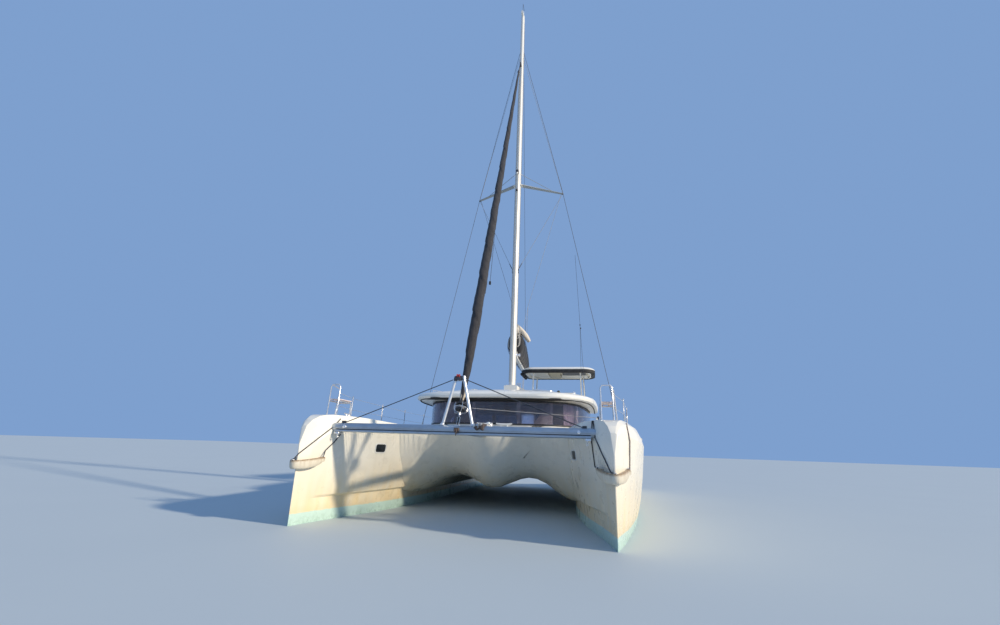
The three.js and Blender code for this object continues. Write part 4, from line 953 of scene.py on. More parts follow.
swivel = [
    lathe([(0.022, 15.22), (0.045, 15.25), (0.05, 15.33), (0.03, 15.40), (0.03, 15.48), (0.014, 15.5)], 18,
          STAY_FOOT, STAY),
    lathe([(0.013, 15.4), (0.013, STAY_LENGTH - 0.05)], 10, STAY_FOOT, STAY),
]
piece("halyard_swivel", swivel, DARK_METAL, replaces=["furled_genoa"])

# boom, bag and sail
PIN = Vector((0, 0.3, 4.55))
SWING = radians(4.5)
TO_BOOM = Matrix.Translation((0, PIN.y, PIN.z)) @ Matrix.Rotation(SWING, 4, "Z")
RISE = 0.035
# Along the boom: half the bag's width, its two edges over the boom's axis, and the sail's roll on it.
BAG_TABLE = [dict(zip(("s", "half", "low", "top", "roll", "deep"), row)) for row in (
    (0.23, 0.225, -0.060, 0.69, 0.105, 0.24), (0.42, 0.300, -0.070, 0.84, 0.150, 0.29),
    (1.50, 0.310, -0.070, 0.76, 0.150, 0.27), (3.20, 0.260, -0.060, 0.59, 0.120, 0.20),
    (4.70, 0.185, -0.040, 0.43, 0.080, 0.13), (5.15, 0.110, -0.020, 0.34, 0.045, 0.08))]


def bag_value(name, s):
    rows = BAG_TABLE
    s = min(max(s, rows[0]["s"]), rows[-1]["s"])
    a, b = next((a, b) for a, b in zip(rows, rows[1:]) if s <= b["s"] + 1e-9)
    t = (s - a["s"]) / (b["s"] - a["s"])
    return a[name] + (b[name] - a[name]) * t


def sail_bag():
    """A stack pack: two cloth walls that hang full between the lazy jacks, drawn in under the boom."""
    section = [(0.0, -0.006), (0.30, -0.002), (0.62, 0.10), (0.88, 0.27), (1.0, 0.45), (0.965, 0.62),
               (0.84, 0.80), (0.62, 0.93), (0.42, 0.995), (0.22, 1.0), (0.0, 0.985)]
    rings = []
    n = 64
    for k in range(n + 1):
        s = 0.23 + 4.92 * k / n
        half, low, top = (bag_value(c, s) for c in ("half", "low", "top"))
        drawn = 1 - 0.045 * (0.5 + 0.5 * cos(2 * pi * s / 0.82)) ** 3
        ring = []
        for u, v in section + [(-u, v) for u, v in reversed(section[1:-1])]:
            bulge = sin(pi * min(1, max(0, v)))
            sag = 0.018 * sin(7.1 * s + 4.0 * v + (2 if u < 0 else 0)) * bulge
            wrinkle = 0.010 * sin(23 * s + 9 * v) * (1 - abs(2 * v - 1))
            x = u * half * drawn * 0.985 + (sag + wrinkle) * (1 if u > 0 else -1) * (abs(u) > 0.3)
            z = s * RISE + low + 0.01 + v * (top - low - 0.02) * (0.985 + 0.012 * sin(5 * s))
            ring.append((x, s, z))
        rings.append(ring)
    return moved(loft(rings), TO_BOOM)


piece("sail_bag_cover", sail_bag(), BAG, "boom", 60, ["sail_bag"], subdivide=1)


def stowed_sail():
    """The upper folds of the mainsail, in a roll along the bag's mouth."""
    rings = []
    n, sides = 70, 20
    for k in range(n + 1):
        s = 0.25 + 4.85 * k / n
        half, deep, top = (bag_value(c, s) for c in ("roll", "deep", "top"))
        ring = []
        for j in range(sides):
            a = 2 * pi * (j + 0.5) / sides
            tied = 0.05 * (0.5 + 0.5 * cos(7.6 * s)) ** 6
            fold = 1 + 0.06 * sin(5 * a + 3 * s) + 0.04 * sin(11 * a - 6 * s) - tied
            x, z = cos(a) * half * 0.93 * fold, 0.5 + 0.47 * sin(a) * fold
            ring.append((x + 0.012 * sin(4 * s), s, s * RISE + top + max(0.004, z * deep)))
        rings.append(ring)
    return moved(loft(rings), TO_BOOM)


piece("stowed_sail_roll", stowed_sail(), SAIL, "boom", 60, ["stowed_sail"], subdivide=1)

# The head of the sail hangs over the bag's port side in one thick fold.
fold_line = [(0.02, 0.35, 1.02), (0.10, 0.40, 0.98), (0.24, 0.47, 0.83), (0.37, 0.52, 0.66),
             (0.47, 0.55, 0.51)]
fold = tube([(x, s, s * RISE + z) for x, s, z in fold_line], [0.066, 0.084, 0.092, 0.086, 0.058], 18, 6,
            ring=lambda k, a: 1 + 0.07 * sin(3 * a + 0.4 * k) + 0.04 * sin(7 * a - 0.9 * k))
piece("sail_head_fold", moved(fold, TO_BOOM), SAIL, "boom", 60, subdivide=1)
straps = []
for s in (0.55, 1.25, 1.95, 2.65, 3.35, 4.05, 4.75):
    half, low, top = (bag_value(c, s) for c in ("half", "low", "top"))
    loop = [(u * (half + 0.008), s, s * RISE + low + v * (top - low))
            for u, v in ((0.42, 1.0), (0.86, 0.8), (1.0, 0.5), (0.88, 0.24), (0.45, 0.0), (0, -0.03),
                         (-0.45, 0.0), (-0.88, 0.24), (-1.0, 0.5), (-0.86, 0.8), (-0.42, 1.0))]
    straps.append(moved(tube(loop, 0.006, 6, 4), TO_BOOM))
piece("bag_straps", straps, ROPE_DARK, "boom")
battens = []
for u in (-1, 1):
    line = [(u * bag_value("half", s) * 0.45, s, s * RISE + bag_value("top", s))
            for s in (0.25 + 0.49 * k for k in range(11))]
    battens.append(moved(tube(line, 0.013, 8, 2), TO_BOOM))
piece("bag_battens", battens, BAG, "boom")
boom_gear = [spool((0.02, 0.05, 0.055), (0.02, 0.016), (0, s, s * RISE - 0.15)) for s in (3.3, 4.1, 4.9)]
boom_gear.append(lathe([(0.10, 0), (0.115, 0.02), (0.10, 0.05), (0.03, 0.06)], 20, (0, 5.28, 5.28 * RISE),
                       (0, 1, 0)))
piece("boom_blocks", moved(merged(*boom_gear), TO_BOOM), BLACK, "boom")

# mast
MAST_FOOT_Y, MAST_FOOT_Z, MAST_TOP_Z, MAST_RAKE = -0.05, 3.372, 20.1, 0.0347


def mast_y(z):
    return MAST_FOOT_Y + (z - MAST_FOOT_Z) * MAST_RAKE


SPREADER_TIP = Vector((1.66, 0.835, 10.94))
piece("mast_track", tube([(0, mast_y(z) + 0.160, z) for z in (4.75, 15.0)], 0.016, 6), GREY)

# Each halyard's place beside the mast in x and y, its top and its foot. They draw in over the taper.
HALYARDS = ((-0.075, -0.16, 17.2, 3.5), (-0.045, -0.175, 19.9, 3.5), (0.03, -0.18, 16.9, 3.5),
            (0.085, 0.175, 19.8, 3.6))
TAPER_Z, TAPER = 15.0, 0.75
halyards = []
for x, y, top, foot in HALYARDS:
    near = [(z, TAPER if z > TAPER_Z else 1) for z in (foot, 9.0, TAPER_Z, top)]
    halyards.append(tube([(x * by, mast_y(z) + y * by, z) for z, by in near], 0.006, 6))
piece("halyards", halyards, ROPE_GREY)
fittings = [
    shifted(block(-0.05, 0.05, -0.09, 0.05, -0.1, 0.02, 0.02), 0, mast_y(11.6) - 0.17, 11.62),
    lathe([(0.03, 0), (0.04, 0.02), (0.035, 0.07), (0.01, 0.085)], 16, (0, mast_y(10.75) - 0.20, 10.72),
          (0, 0, 1)),
    shifted(block(-0.03, 0.03, -0.2, 0.2, 0, 0.09, 0.02), 0, mast_y(17.0) - 0.12, 16.95),
    lathe([(0.008, 0), (0.008, 0.5)], 6, (0.03, mast_y(MAST_TOP_Z) - 0.2, 20.12), (0, 0, 1)),
]
for s in (-1, 1):
    fittings.append(lathe([(0.012, -0.03), (0.03, -0.02), (0.034, 0.02), (0.016, 0.035)], 14,
                          (s * (SPREADER_TIP.x - 0.01), SPREADER_TIP.y, SPREADER_TIP.z), (s, 0, 0)))
piece("mast_fittings", fittings, DARK_METAL)
lights = [lathe([(0.035, 0), (0.04, 0.02), (0.038, 0.06), (0.02, 0.075)], 18,
                (0, mast_y(MAST_TOP_Z) - 0.05, 20.16), (0, 0, 1)),
          lathe([(0.035, 0), (0.036, 0.05), (0.02, 0.06)], 16, (0, mast_y(11.62) - 0.26, 11.45), (0, 0, 1))]
piece("mast_lights", lights, WHITE)
vane = [(0.03, mast_y(MAST_TOP_Z) + y, z) for y, z in ((-0.2, 20.62), (-0.05, 20.625), (0.14, 20.62))]
piece("wind_vane", tube(vane, 0.005, 6), BLACK)


def winch(at, axis=(0, 0, 1), size=1.0):
    profile = ((0.062, 0), (0.064, 0.01), (0.056, 0.02), (0.040, 0.05), (0.038, 0.085), (0.048, 0.115),
               (0.052, 0.12), (0.050, 0.135), (0.03, 0.145), (0.012, 0.147))
    return lathe([(r * size, h * size) for r, h in profile], 24, at, axis)


piece("mast_winch", winch((0.10, mast_y(4.6), 4.42), (1, 0, 0)), STEEL)

# Coils hung on the mast: each one's x, y, height and drop, and the turns of one as shares of width and drop.
COILS = ((0.13, 0.06, 5.15, 0.42), (0.10, 0.18, 5.55, 0.5), (-0.13, 0.08, 5.05, 0.38))
TURN = ((0, 0), (1, 0.25), (0.9, 0.8), (0, 1), (-0.7, 0.8), (-0.6, 0.25))
coils = []
for x, y, z, drop in COILS:
    for j in range(4):
        width, back = 0.05 + 0.012 * j, y + 0.012 * j
        loop = [(x + width * u, back, z - drop * v) for u, v in TURN] + [(x + 0.004, back, z)]
        coils.append(shifted(tube(loop, 0.0065, 6, 5), 0, mast_y(z), 0))
piece("halyard_coils", coils, ROPE_PALE)

# Lazy jacks and a topping lift between mast and boom.
for side, s in SIDES:
    top = Vector((s * 1.60, 0.80, 10.92))
    knot = TO_BOOM @ Vector((s * 0.30, 1.9, 2.3))
    legs = [TO_BOOM @ Vector((s * bag_value("half", d) * 0.46, d, d * RISE + bag_value("top", d) + 0.01))
            for d in (0.9, 2.4, 4.2)]
    lines = [tube(steps_between(top, knot, 16), 0.0055, 6)]
    lines += [tube(steps_between(knot, leg, 8), 0.004, 6) for leg in legs]
    jack = piece(f"lazy_jack_{side}", lines, ROPE_PALE if s > 0 else ROPE_DARK, body=None)
    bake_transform(jack)
lift_top, lift_end = Vector((0, mast_y(19.9) + 0.17, 19.9)), TO_BOOM @ Vector((0, 5.22, 5.22 * RISE + 0.10))
lift = piece("topping_lift", tube(steps_between(lift_top, lift_end, 24), 0.006, 6), ROPE_DARK, body=None)
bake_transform(lift)

# nets


def net(side, s):
    """Crossed webbing laced inside a bolt rope, between spine, beam, hull and foredeck."""
    inner, front, z = 0.13, -5.56, 1.759
    pitch, half = 0.062, 0.0042

    def outer(y):
        point, _ = hit((s * 1.2, y, z), (s, 0, 0), f"hull_{side}")
        return abs(point.x) - 0.05

    def aft_edge(x):
        return hit((s * x, front, z), (0, 1, 0), "bridgedeck", f"hull_{side}")[0].y - 0.05

    aft = aft_edge(0.9)

    def sag(x, y):
        u = (abs(x) - inner) / (2.4 - inner)
        v = (y - front) / (aft - front)
        return z - 0.03 * sin(pi * min(1, max(0, u))) * sin(pi * min(1, max(0, v)))

    strands = []

    def strand(a, b, lift):
        pts = [Vector(a).lerp(Vector(b), k / 10) for k in range(11)]
        pts = [Vector((p.x, p.y, sag(p.x, p.y) + lift)) for p in pts]
        strands.append(tube(pts, half, 4))

    n = int((aft - front) / pitch)
    for k in range(1, n):
        y = front + (aft - front) * k / n
        x0, x1 = inner, outer(y)
        while aft_edge(x0) < y:
            x0 += 0.02
        while x1 > x0 and aft_edge(x1) < y:
            x1 -= 0.02
        strand((s * x0, y, z), (s * x1, y, z), 0.002)
    widest = outer(front + 0.02)
    m = int((widest - inner) / pitch)
    for k in range(1, m):
        x = inner + (widest - inner) * k / m
        y1 = aft_edge(x)
        while y1 > front + 0.2 and outer(y1) < x:
            y1 -= 0.05
        strand((s * x, front, z), (s * x, y1, z), -0.002)
    o = piece(f"net_{side}", strands, NET, replaces=[f"trampoline_{side}"], sharp=60)
    rim = [(s * inner, front), (s * widest, front)]
    rim += [(s * outer(y), y) for y in (front + (aft - front) * k / 12 for k in range(1, 13))]
    rim += [(s * inner, aft)]
    border = [Vector((x, y, z)) for x, y in rim]
    piece(f"net_rope_{side}", tube([*border, border[0]], 0.009, 8), ROPE_GREY)
    lacing = []
    straight = ((0, 1, (0, -0.045, 0)), (-1, 0, (-s * 0.045, 0, 0)), (-2, -1, (0, 0.05, 0)))
    for first, last, outward in straight:
        a, b = border[first], border[last]
        steps = int((b - a).length / 0.055)
        zig = [a.lerp(b, k / steps) + Vector(outward) * (k % 2) for k in range(steps + 1)]
        lacing.append(tube(zig, 0.0035, 5))
    along_hull = zip(border[1:13], border[2:14])
    zig = [a.lerp(b, j / 4) + Vector((s * 0.045 * (j % 2), 0, 0)) for a, b in along_hull for j in range(4)]
    lacing.append(tube(zig, 0.0035, 5))
    piece(f"net_lacing_{side}", lacing, ROPE_DARK)


for side, s in SIDES:
    net(side, s)

# cabin and roof
# Points (y, x, z) under the roof's edge, from the middle round to the port side.
ROOF_LIP = ((-2.8, 1.06, 2.745), (-2.76, 1.41, 2.705), (-2.62, 1.81, 2.70), (-2.32, 2.16, 2.70),
            (-1.9, 2.37, 2.70), (-1.3, 2.51, 2.70), (-0.4, 2.58, 2.70), (0.6, 2.61, 2.70), (1.7, 2.625, 2.70))


def front_curve(points, per=6):
    """A line given from the middle to the port side, carried round from side to side."""
    half = [Vector(p) for p in points]
    mirror = [Vector((-p.x, p.y, p.z)) for p in reversed(half) if abs(p.x) > 1e-6]
    return curve_through([*mirror, *half], per)


# A black rubber seal along the roof's lip, which also stands for painted shade in the gap under the lip.
seal = front_curve([(x - 0.02, y + 0.02, z - 0.004) for y, x, z in ROOF_LIP[1:]], 4)
piece("roof_lip_seal_and_shade", tube(seal, 0.016, 8), RUBBER)


def brow_painted_shade():
    """A black strip of painted shade under the front of the roof's brow, narrowing to nothing round the
    corners.
    """
    outer = [(0, -2.735, 2.70), (0.7, -2.732, 2.70), (1.33, -2.72, 2.70), (1.72, -2.60, 2.697),
             (2.0, -2.38, 2.697)]
    inner = [(0, -2.405, 2.694), (0.7, -2.365, 2.694), (1.2, -2.30, 2.694), (1.55, -2.30, 2.694),
             (1.93, -2.34, 2.694)]
    rings = []
    for a, b in zip(front_curve(outer), front_curve(inner)):
        drop = Vector((0, 0, 0.007))
        rings.append([a, b, b - drop, a - drop])
    return loft(rings)


# painted shade: a black strip where the underside of the brow lies in shade
piece("brow_painted_shade", brow_painted_shade(), RUBBER)


def window_surround():
    """A dark bonded border above and below the wrap-round windows."""
    plan = [(0, -2.39), (0.9, -2.33), (1.45, -2.2), (1.85, -1.92), (2.12, -1.45), (2.27, -0.85), (2.36, -0.1),
            (2.43, 0.8), (2.43, 1.62)]
    line = [*((-x, y) for x, y in reversed(plan[1:])), *plan]
    bands = []
    for z0, z1 in ((2.052, 2.088), (2.642, 2.688)):
        rings = []
        for k, (x, y) in enumerate(line):
            a, b = Vector(line[max(0, k - 1)]), Vector(line[min(len(line) - 1, k + 1)])
            out = Vector(((b - a).y, -(b - a).x)).normalized()
            section = ((0.0125, z0), (0.0165, z0), (0.0165, z1), (0.0125, z1))
            rings.append([(x + out.x * d, y + out.y * d, z) for d, z in section])
        bands.append(loft(rings))
    return merged(*bands)


piece("window_border", window_surround(), BLACK)
# The curtains' rail in plan, on the port side.
CURTAIN_PATH = ((1.784, -1.87), (2.04, -1.424), (2.101, -1.188))


def curtain(side, s):
    """Cloth in soft pleats from a rail at the roof down to the window sill."""
    path = [Vector((s * x, y)) for x, y in CURTAIN_PATH]
    first = (path[1] - path[0]).length
    whole = first + (path[2] - path[1]).length
    columns, rows, waves = 108, 16, 6
    top, low = 2.698, 2.064

    def line(row, offset):
        out = []
        for i in range(columns + 1):
            run = whole * i / columns
            if run < first:
                a, b, t = *path[:2], run / first
            else:
                a, b, t = *path[1:], (run - first) / (whole - first)
            way = (b - a).normalized()
            inward = Vector((-way.y, way.x)) * s
            drop = row / rows
            phase = 2 * pi * waves * i / columns + 0.5 * sin(3 * drop + i * 0.11)
            pleat = 0.0115 * sin(phase) * (0.6 + 0.4 * drop) + 0.003 * sin(2.7 * phase + 5 * drop)
            q = a.lerp(b, t) + inward * (0.0185 + pleat + offset)
            out.append((q.x, q.y, top + (low - top) * drop))
        return out

    rings = [line(row, 0) + line(row, 0.003)[::-1] for row in range(rows + 1)]
    node = f"curtain_{side}"
    o = piece(f"{node}_cloth", loft(rings), CURTAIN, replaces=[node], sharp=60)


for side, s in SIDES:
    curtain(side, s)


def roof_point(x, y):
    return deck_point(x, y, "coachroof", high=4.0)


def roof_hatch(x, y):
    """A low alloy-framed deck hatch with a smoked pane."""
    p, normal = roof_point(x, y)
    m = on_face(p - normal * 0.004, normal, (0, 1, 0))
    outline = rounded(0.27, 0.27, 0.07, 5)
    ring = stepped(outline, ((-0.012, 0), (-0.008, 0.022), (0.004, 0.034), (0.03, 0.036), (0.034, 0.026)))
    hinges = [block(u - 0.035, u + 0.035, 0.235, 0.285, 0.02, 0.044, 0.008) for u in (-0.16, 0.16)]
    return moved(merged(ring, *hinges), m), moved(slab(inset(outline, 0.03), 0.004, 0.032, 0.004), m)


ROOF_HATCHES = ((-1.15, -1.25), (1.15, -1.25), (-1.2, 0.75), (-0.1, 1.1))
frames, panes = zip(*(roof_hatch(x, y) for x, y in ROOF_HATCHES))
piece("roof_hatch_frames", [*frames], BRIGHT)
piece("roof_hatch_panes", [*panes], SMOKED)
RAIL_X, RAIL_HIGH, RAIL_FEET = 2.05, 0.075, (-1.0, -0.2, 0.6)
rails = []
for s in (-1, 1):
    run = [roof_point(s * RAIL_X, y)[0] + Vector((0, 0, RAIL_HIGH)) for y in (-1.7, *RAIL_FEET, 1.3)]
    ends = [roof_point(s * RAIL_X, y)[0] + Vector((0, 0, -0.01)) for y in (-1.78, 1.38)]
    bends = [run[0] + Vector((0, -0.05, -0.02)), run[-1] + Vector((0, 0.05, -0.02))]
    rails.append(tube([ends[0], bends[0], *run, bends[1], ends[1]], 0.013, 10, 4))
    for y in RAIL_FEET:
        foot = roof_point(s * RAIL_X, y)[0]
        rails.append(lathe([(0.026, -0.004), (0.024, 0.004), (0.012, 0.012), (0.011, 0.072)], 14, foot))
piece("roof_handrails", rails, STEEL)

# Lines led aft from the mast's foot over the roof to stoppers beside the helm.
lines, stoppers, levers = [], [], []
for k in range(5):
    x0, x1 = 0.16 + 0.03 * k, 0.74 + 0.075 * k
    start = roof_point(x0, 0.12)[0]
    path = [Vector((x0, -0.02, 3.5)), start + Vector((0, 0, 0.03))]
    for t in (0.25, 0.5, 0.75, 1.0):
        q = roof_point(x0 + (x1 - x0) * min(1, t * 1.6), 0.12 + 1.38 * t)[0]
        path.append(q + Vector((0, 0, 0.018)))
    lines.append(tube(path, 0.0055, 8, 4))
    p, normal = roof_point(x1, 1.6)
    m = on_face(p - normal * 0.004, normal, (0, 1, 0))
    stopper = merged(block(-0.026, 0.026, -0.09, 0.09, 0, 0.05, 0.012),
                     block(-0.02, 0.02, -0.05, 0.05, 0.05, 0.062, 0.01))
    stoppers.append(moved(stopper, m))
    levers.append(moved(block(-0.014, 0.014, -0.085, 0.06, 0.062, 0.074, 0.012), m))
piece("control_lines", lines, ROPE_PALE)
piece("rope_stoppers", stoppers, BLACK)
piece("stopper_levers", levers, GREY)
winches = []
for x, y in ((0.68, 1.70), (2.36, 1.62)):
    winches.append(winch(roof_point(x, y)[0] - Vector((0, 0, 0.004)), size=1.15))
piece("roof_winches", winches, STEEL)

# foredeck
cleats = [horn_cleat(deck_point(x, -3.47, "bridgedeck")[0], (1, 0, 0), 1.7) for x in (-0.02, 0.46)]
piece("bridle_cleats", cleats, WHITE)
GYPSY = ((0.055, 0.02), (0.10, 0.03), (0.062, 0.05), (0.10, 0.07), (0.06, 0.085), (0.05, 0.13), (0.03, 0.145))
WINDLASS = deck_point(0, -3.1, "bridgedeck")[0]
windlass = [
    shifted(slab(rounded(0.16, 0.13, 0.05), 0, 0.02, 0.006), *WINDLASS),
    lathe([(0.11, 0.02), (0.112, 0.08), (0.095, 0.12), (0.055, 0.135)], 28, WINDLASS),
    lathe(GYPSY, 24, WINDLASS + Vector((0.02, -0.14, 0))),
]
piece("windlass", windlass, BRIGHT)
cheeks = [block(x, x + 0.013, -5.92, -5.62, 1.765, 1.89, 0.006) for x in (0.405, 0.542)]
roller = spool((0.05, 0.055, 0.026), (0.06, 0.05), (0.48, -5.875, 1.81), sides=24)
piece("anchor_roller", [*cheeks, roller], RUSTY)
beam_gear = [
    block(-0.02, 0.08, BEAM_Y - 0.16, BEAM_Y - 0.118, 1.735, 1.80, 0.01),
    spool((0.035, 0.04, 0.022), (0.022, 0.014), (0.03, BEAM_Y - 0.17, 1.74), sides=18),
    moved(ring_shape(0.03, 0.008), on_face((0.03, BEAM_Y - 0.17, 1.69), (1, 0.3, 0))),
]
piece("beam_line_lead", beam_gear, RUSTY)

# hardtop
gasket = stepped(rounded(1.3, 0.85, 0.42, 8), ((0.135, 4.060), (0.125, 4.050), (0.03, 4.046), (-0.004, 4.062),
                                               (-0.010, 4.085), (-0.009, 4.155), (0.002, 4.166)))
piece("hardtop_gasket", shifted(gasket, HELM_X, 2.05, 0), RUBBER)
# Panels under the hardtop: each one's look, and its extent in x and y.
PANELS = {
    "light": (PANEL_PALE, 0.56, 1.00, 1.40, 2.62), "cloth": (PANEL_BEIGE, 1.03, 1.42, 1.40, 2.62),
    "side": (PANEL_PALE, 1.45, 2.40, 2.02, 2.62), "dark": (BLACK, 1.52, 2.34, 1.40, 1.96),
}
PANEL_Z = (4.064, 4.1295)
for name, (look, *extent) in PANELS.items():
    piece(f"hardtop_{name}_panel", block(*extent, *PANEL_Z, 0.04), look)
roll_line = [(0.06, 1.45 + 0.16 * k, 4.035 + 0.006 * sin(3 * k)) for k in range(8)]
screen = tube(roll_line, 0.042, 14, 4, ring=lambda k, a: 1 + 0.09 * sin(3 * a + 0.25 * k))
piece("rolled_side_screen", screen, BAG)
ties = [moved(ring_shape(0.046, 0.006, 18, 6), on_face((0.06, y, 4.036), (0, 1, 0)))
        for y in (1.55, 2.0, 2.45)]
piece("side_screen_ties", ties, ROPE_DARK)

# helm
DASH_TOP, DASH_FOOT = Vector((0, 1.96, 3.42)), Vector((0, 2.08, 3.25))
DIALS_X = (0.98, 1.11, 1.59, 1.72)


def dash_plate(x, half_x, half_y, r, low, high, edge):
    """A plate with rounded corners on the sloping dashboard, at x."""
    way = (DASH_FOOT - DASH_TOP).normalized()
    at = DASH_TOP.lerp(DASH_FOOT, 0.52) + Vector((x, 0, 0))
    return moved(slab(rounded(half_x, half_y, r), low, high, edge), on_face(at, (0, -way.z, way.y), -way))


screens = [dash_plate(HELM_X, 0.15, 0.09, 0.015, 0, 0.014, 0.004)]
screens += [dash_plate(x, 0.056, 0.056, 0.01, 0, 0.012, 0.003) for x in DIALS_X]
piece("helm_displays", screens, BLACK)
glass_faces = [dash_plate(HELM_X, 0.13, 0.072, 0.008, 0.0135, 0.016, 0.001)]
glass_faces += [dash_plate(x, 0.044, 0.044, 0.006, 0.0115, 0.014, 0.001) for x in DIALS_X]
piece("helm_display_glass", glass_faces, HULL_GLASS)
COMPASS = (HELM_X, 1.89, 3.418)
piece("compass_base", lathe([(0.075, 0), (0.078, 0.02), (0.06, 0.03)], 28, COMPASS), BLACK)
dome = ((0.058, 0.028), (0.056, 0.05), (0.042, 0.072), (0.02, 0.085), (0.004, 0.088))
piece("compass_dome", lathe(dome, 28, COMPASS), HULL_GLASS)
throttle = [tube([(x, 2.10, 2.93), (x, 2.14, 2.96), (x, 2.15, 3.05)], [0.012, 0.010, 0.016], 10, 5)
            for x in (1.79, 1.825)]
piece("throttle_levers", [block(1.765, 1.845, 2.082, 2.10, 2.86, 3.02, 0.02), *throttle], STEEL)

# saloon floor and joinery trim

# Rows of planks between the furniture: how many, the first one's x, and where they start in y.
PLANK, PLANK_PITCH, FLOOR_LOW, FLOOR_TOP = 0.083, 0.0865, 1.0505, 1.060
FLOOR_ROWS = ((12, -0.50, -1.20), (16, -1.88, 0.32), (8, 0.56, -1.23))
boards = [block(x0, x0 + PLANK, y0, 1.68, FLOOR_LOW, FLOOR_TOP, 0.002)
          for count, first, y0 in FLOOR_ROWS for x0 in (first + PLANK_PITCH * k for k in range(count))]
piece("saloon_floor_boards", boards, FLOOR_WOOD)
WORKTOP, WORKTOP_Z = ((0.54, 1.895, -1.845, -1.235), (1.315, 1.895, -1.236, 1.31)), (1.9005, 1.935)
worktop = [block(*extent, *WORKTOP_Z, 0.02) for extent in WORKTOP]
piece("galley_worktop", worktop, PANEL_PALE)
SINK_STEPS = ((-0.012, 1.936), (0, 1.942), (0.008, 1.937), (0.014, 1.9365))
sink = shifted(stepped(rounded(0.17, 0.24, 0.05, 5), SINK_STEPS, caps=True), 1.62, -0.45, 0)
tap_line = ((1.83, 1.935), (1.83, 2.14), (1.80, 2.19), (1.74, 2.20), (1.70, 2.16))
tap = tube([(x, -0.45, z) for x, z in tap_line], 0.012, 10, 5)
piece("galley_sink_and_tap", [sink, tap], STEEL)
piece("galley_hob", block(1.40, 1.84, 0.25, 0.72, 1.9355, 1.943, 0.02), BLACK)
FRONTS_Y = (-1.2, -0.78, -0.36, 0.06, 0.48, 0.88)
fronts = [block(1.322, 1.3295, y, y + 0.40, 1.14, 1.86, 0.006) for y in FRONTS_Y]
piece("galley_doors", fronts, JOINERY)
pulls = [tube([(x, y + along, 1.80)
               for x, along in ((1.322, 0.12), (1.312, 0.13), (1.312, 0.27), (1.322, 0.28))],
              0.005, 6, 3) for y in FRONTS_Y]
piece("galley_handles", pulls, STEEL)
studs = [lathe([(0.012, 0), (0.012, 0.03)], 10, (-0.11, 1.795, z), (0, 1, 0)) for z in (1.74, 1.96)]
piece("door_handle", [block(-0.125, -0.095, 1.796, 1.828, 1.72, 1.98, 0.01), *studs], STEEL, "saloon_door")
frame_bars = loft([[(-0.48 + q.x, y, 1.87 + q.y) for q in inset(rounded(0.445, 0.775, 0.04, 4), by)]
                   for by, y in ((0.0, 1.797), (-0.002, 1.801), (0.05, 1.801), (0.052, 1.797))], caps=False)
piece("door_frame_bars", frame_bars, GREY, "saloon_door")

# sterns
# The stern steps' fronts, backs and heights.
STEP_ROWS = ((4.80, 5.19, 1.3), (5.27, 5.66, 0.92), (5.74, 6.30, 0.52))
for side, s in SIDES:
    pads = []
    for y0, y1, z in STEP_ROWS:
        for k in range(5):
            x0 = HULL_X - 0.60 + 0.226 * k
            pads.append(block(*sorted((s * x0, s * (x0 + 0.21))), y0, y1, z + 0.0005, z + 0.009, 0.02))
    piece(f"stern_step_teak_{side}", pads, SEAT_WOOD)
LADDER_X = (-HULL_X - 0.17, -HULL_X + 0.17)
ladder = [tube([(x, 6.33, 0.56), (x, 6.40, 0.56), (x, 6.41, 0.50), (x, 6.41, -0.30)], 0.013, 10, 4)
          for x in LADDER_X]
ladder += [tube([(x, 6.41, z) for x in LADDER_X], 0.013, 10) for z in (0.34, 0.08, -0.18)]
piece("swim_ladder", ladder, STEEL)

# Diamond stays from the mast's upper part out to the spreaders' ends and back to the mast below them.
for side, s in SIDES:
    tip = Vector((s * SPREADER_TIP.x, SPREADER_TIP.y - 0.01, SPREADER_TIP.z))
    high = Vector((s * 0.07, mast_y(17.6) - 0.03, 17.6))
    low = Vector((s * 0.095, mast_y(7.5) - 0.04, 7.5))
    piece(f"diamond_stay_{side}", [tube([high, tip], 0.0055, 8), tube([tip, low], 0.0065, 8)], ROPE_GREY)
    screw = [
        tube([low.lerp(tip, t) for t in (0.02, 0.03, 0.075, 0.085)], [0.008, 0.014, 0.014, 0.008], 10),
        block(*sorted((s * 0.085, s * 0.112)), low.y - 0.03, low.y + 0.03, low.z - 0.12, low.z + 0.05, 0.008),
    ]
    piece(f"diamond_turnbuckle_{side}", screw, DARK_METAL)
    plate = Vector((s * 3.4, 0.9, 1.98))
    bend = Vector((s * 1.672, 0.835, 10.932))
    body_of_screw = tube([plate.lerp(bend, t) for t in (0.012, 0.018, 0.020, 0.052, 0.054, 0.062)],
                         [0.010, 0.012, 0.020, 0.020, 0.013, 0.010], 12)
    end_toggle = block(*sorted((s * 3.385, s * 3.412)), 0.878, 0.922, 2.0, 2.10, 0.01)
    piece(f"shroud_turnbuckle_{side}", [body_of_screw, end_toggle], STEEL)

# A flag line on the port shroud, with a block where it is led down to the roof.
flag_top, flag_block = pixel_at_y(575, 255, 0.85), pixel_at_y(580, 325, 0.86)
flag_feet = [roof_point(2.2, 0.55)[0], roof_point(2.32, 0.6)[0]]
runs = [(flag_top, flag_block), *((flag_block, foot) for foot in flag_feet)]
flag = [tube(steps_between(a, b, 6), 0.0045, 6) for a, b in runs]
piece("flag_line", flag, ROPE_DARK)
low_flag_block = flag_block + Vector((0.02, 0, -0.12))
blocks = [spool((0.012, 0.026, 0.028), (0.016, 0.012), q) for q in (flag_block, low_flag_block)]
eyes = [horn_cleat(q, (0, 1, 0), 0.5) for q in flag_feet]
piece("flag_line_blocks", merged(*blocks, *eyes), BLACK)

# The block and its pennant abaft the rolled headsail.
stay_block = pixel_at_y(490, 283, up_stay(6.6).y + 0.2)
pennant = tube([up_stay(7.4) + Vector((0, 0.08, 0)), stay_block], 0.006, 6)
sheet_block = spool((0.02, 0.05, 0.055), (0.03, 0.022), stay_block, (1, 0.2, 0), 18)
piece("headsail_sheet_block", [sheet_block, pennant], BLACK)

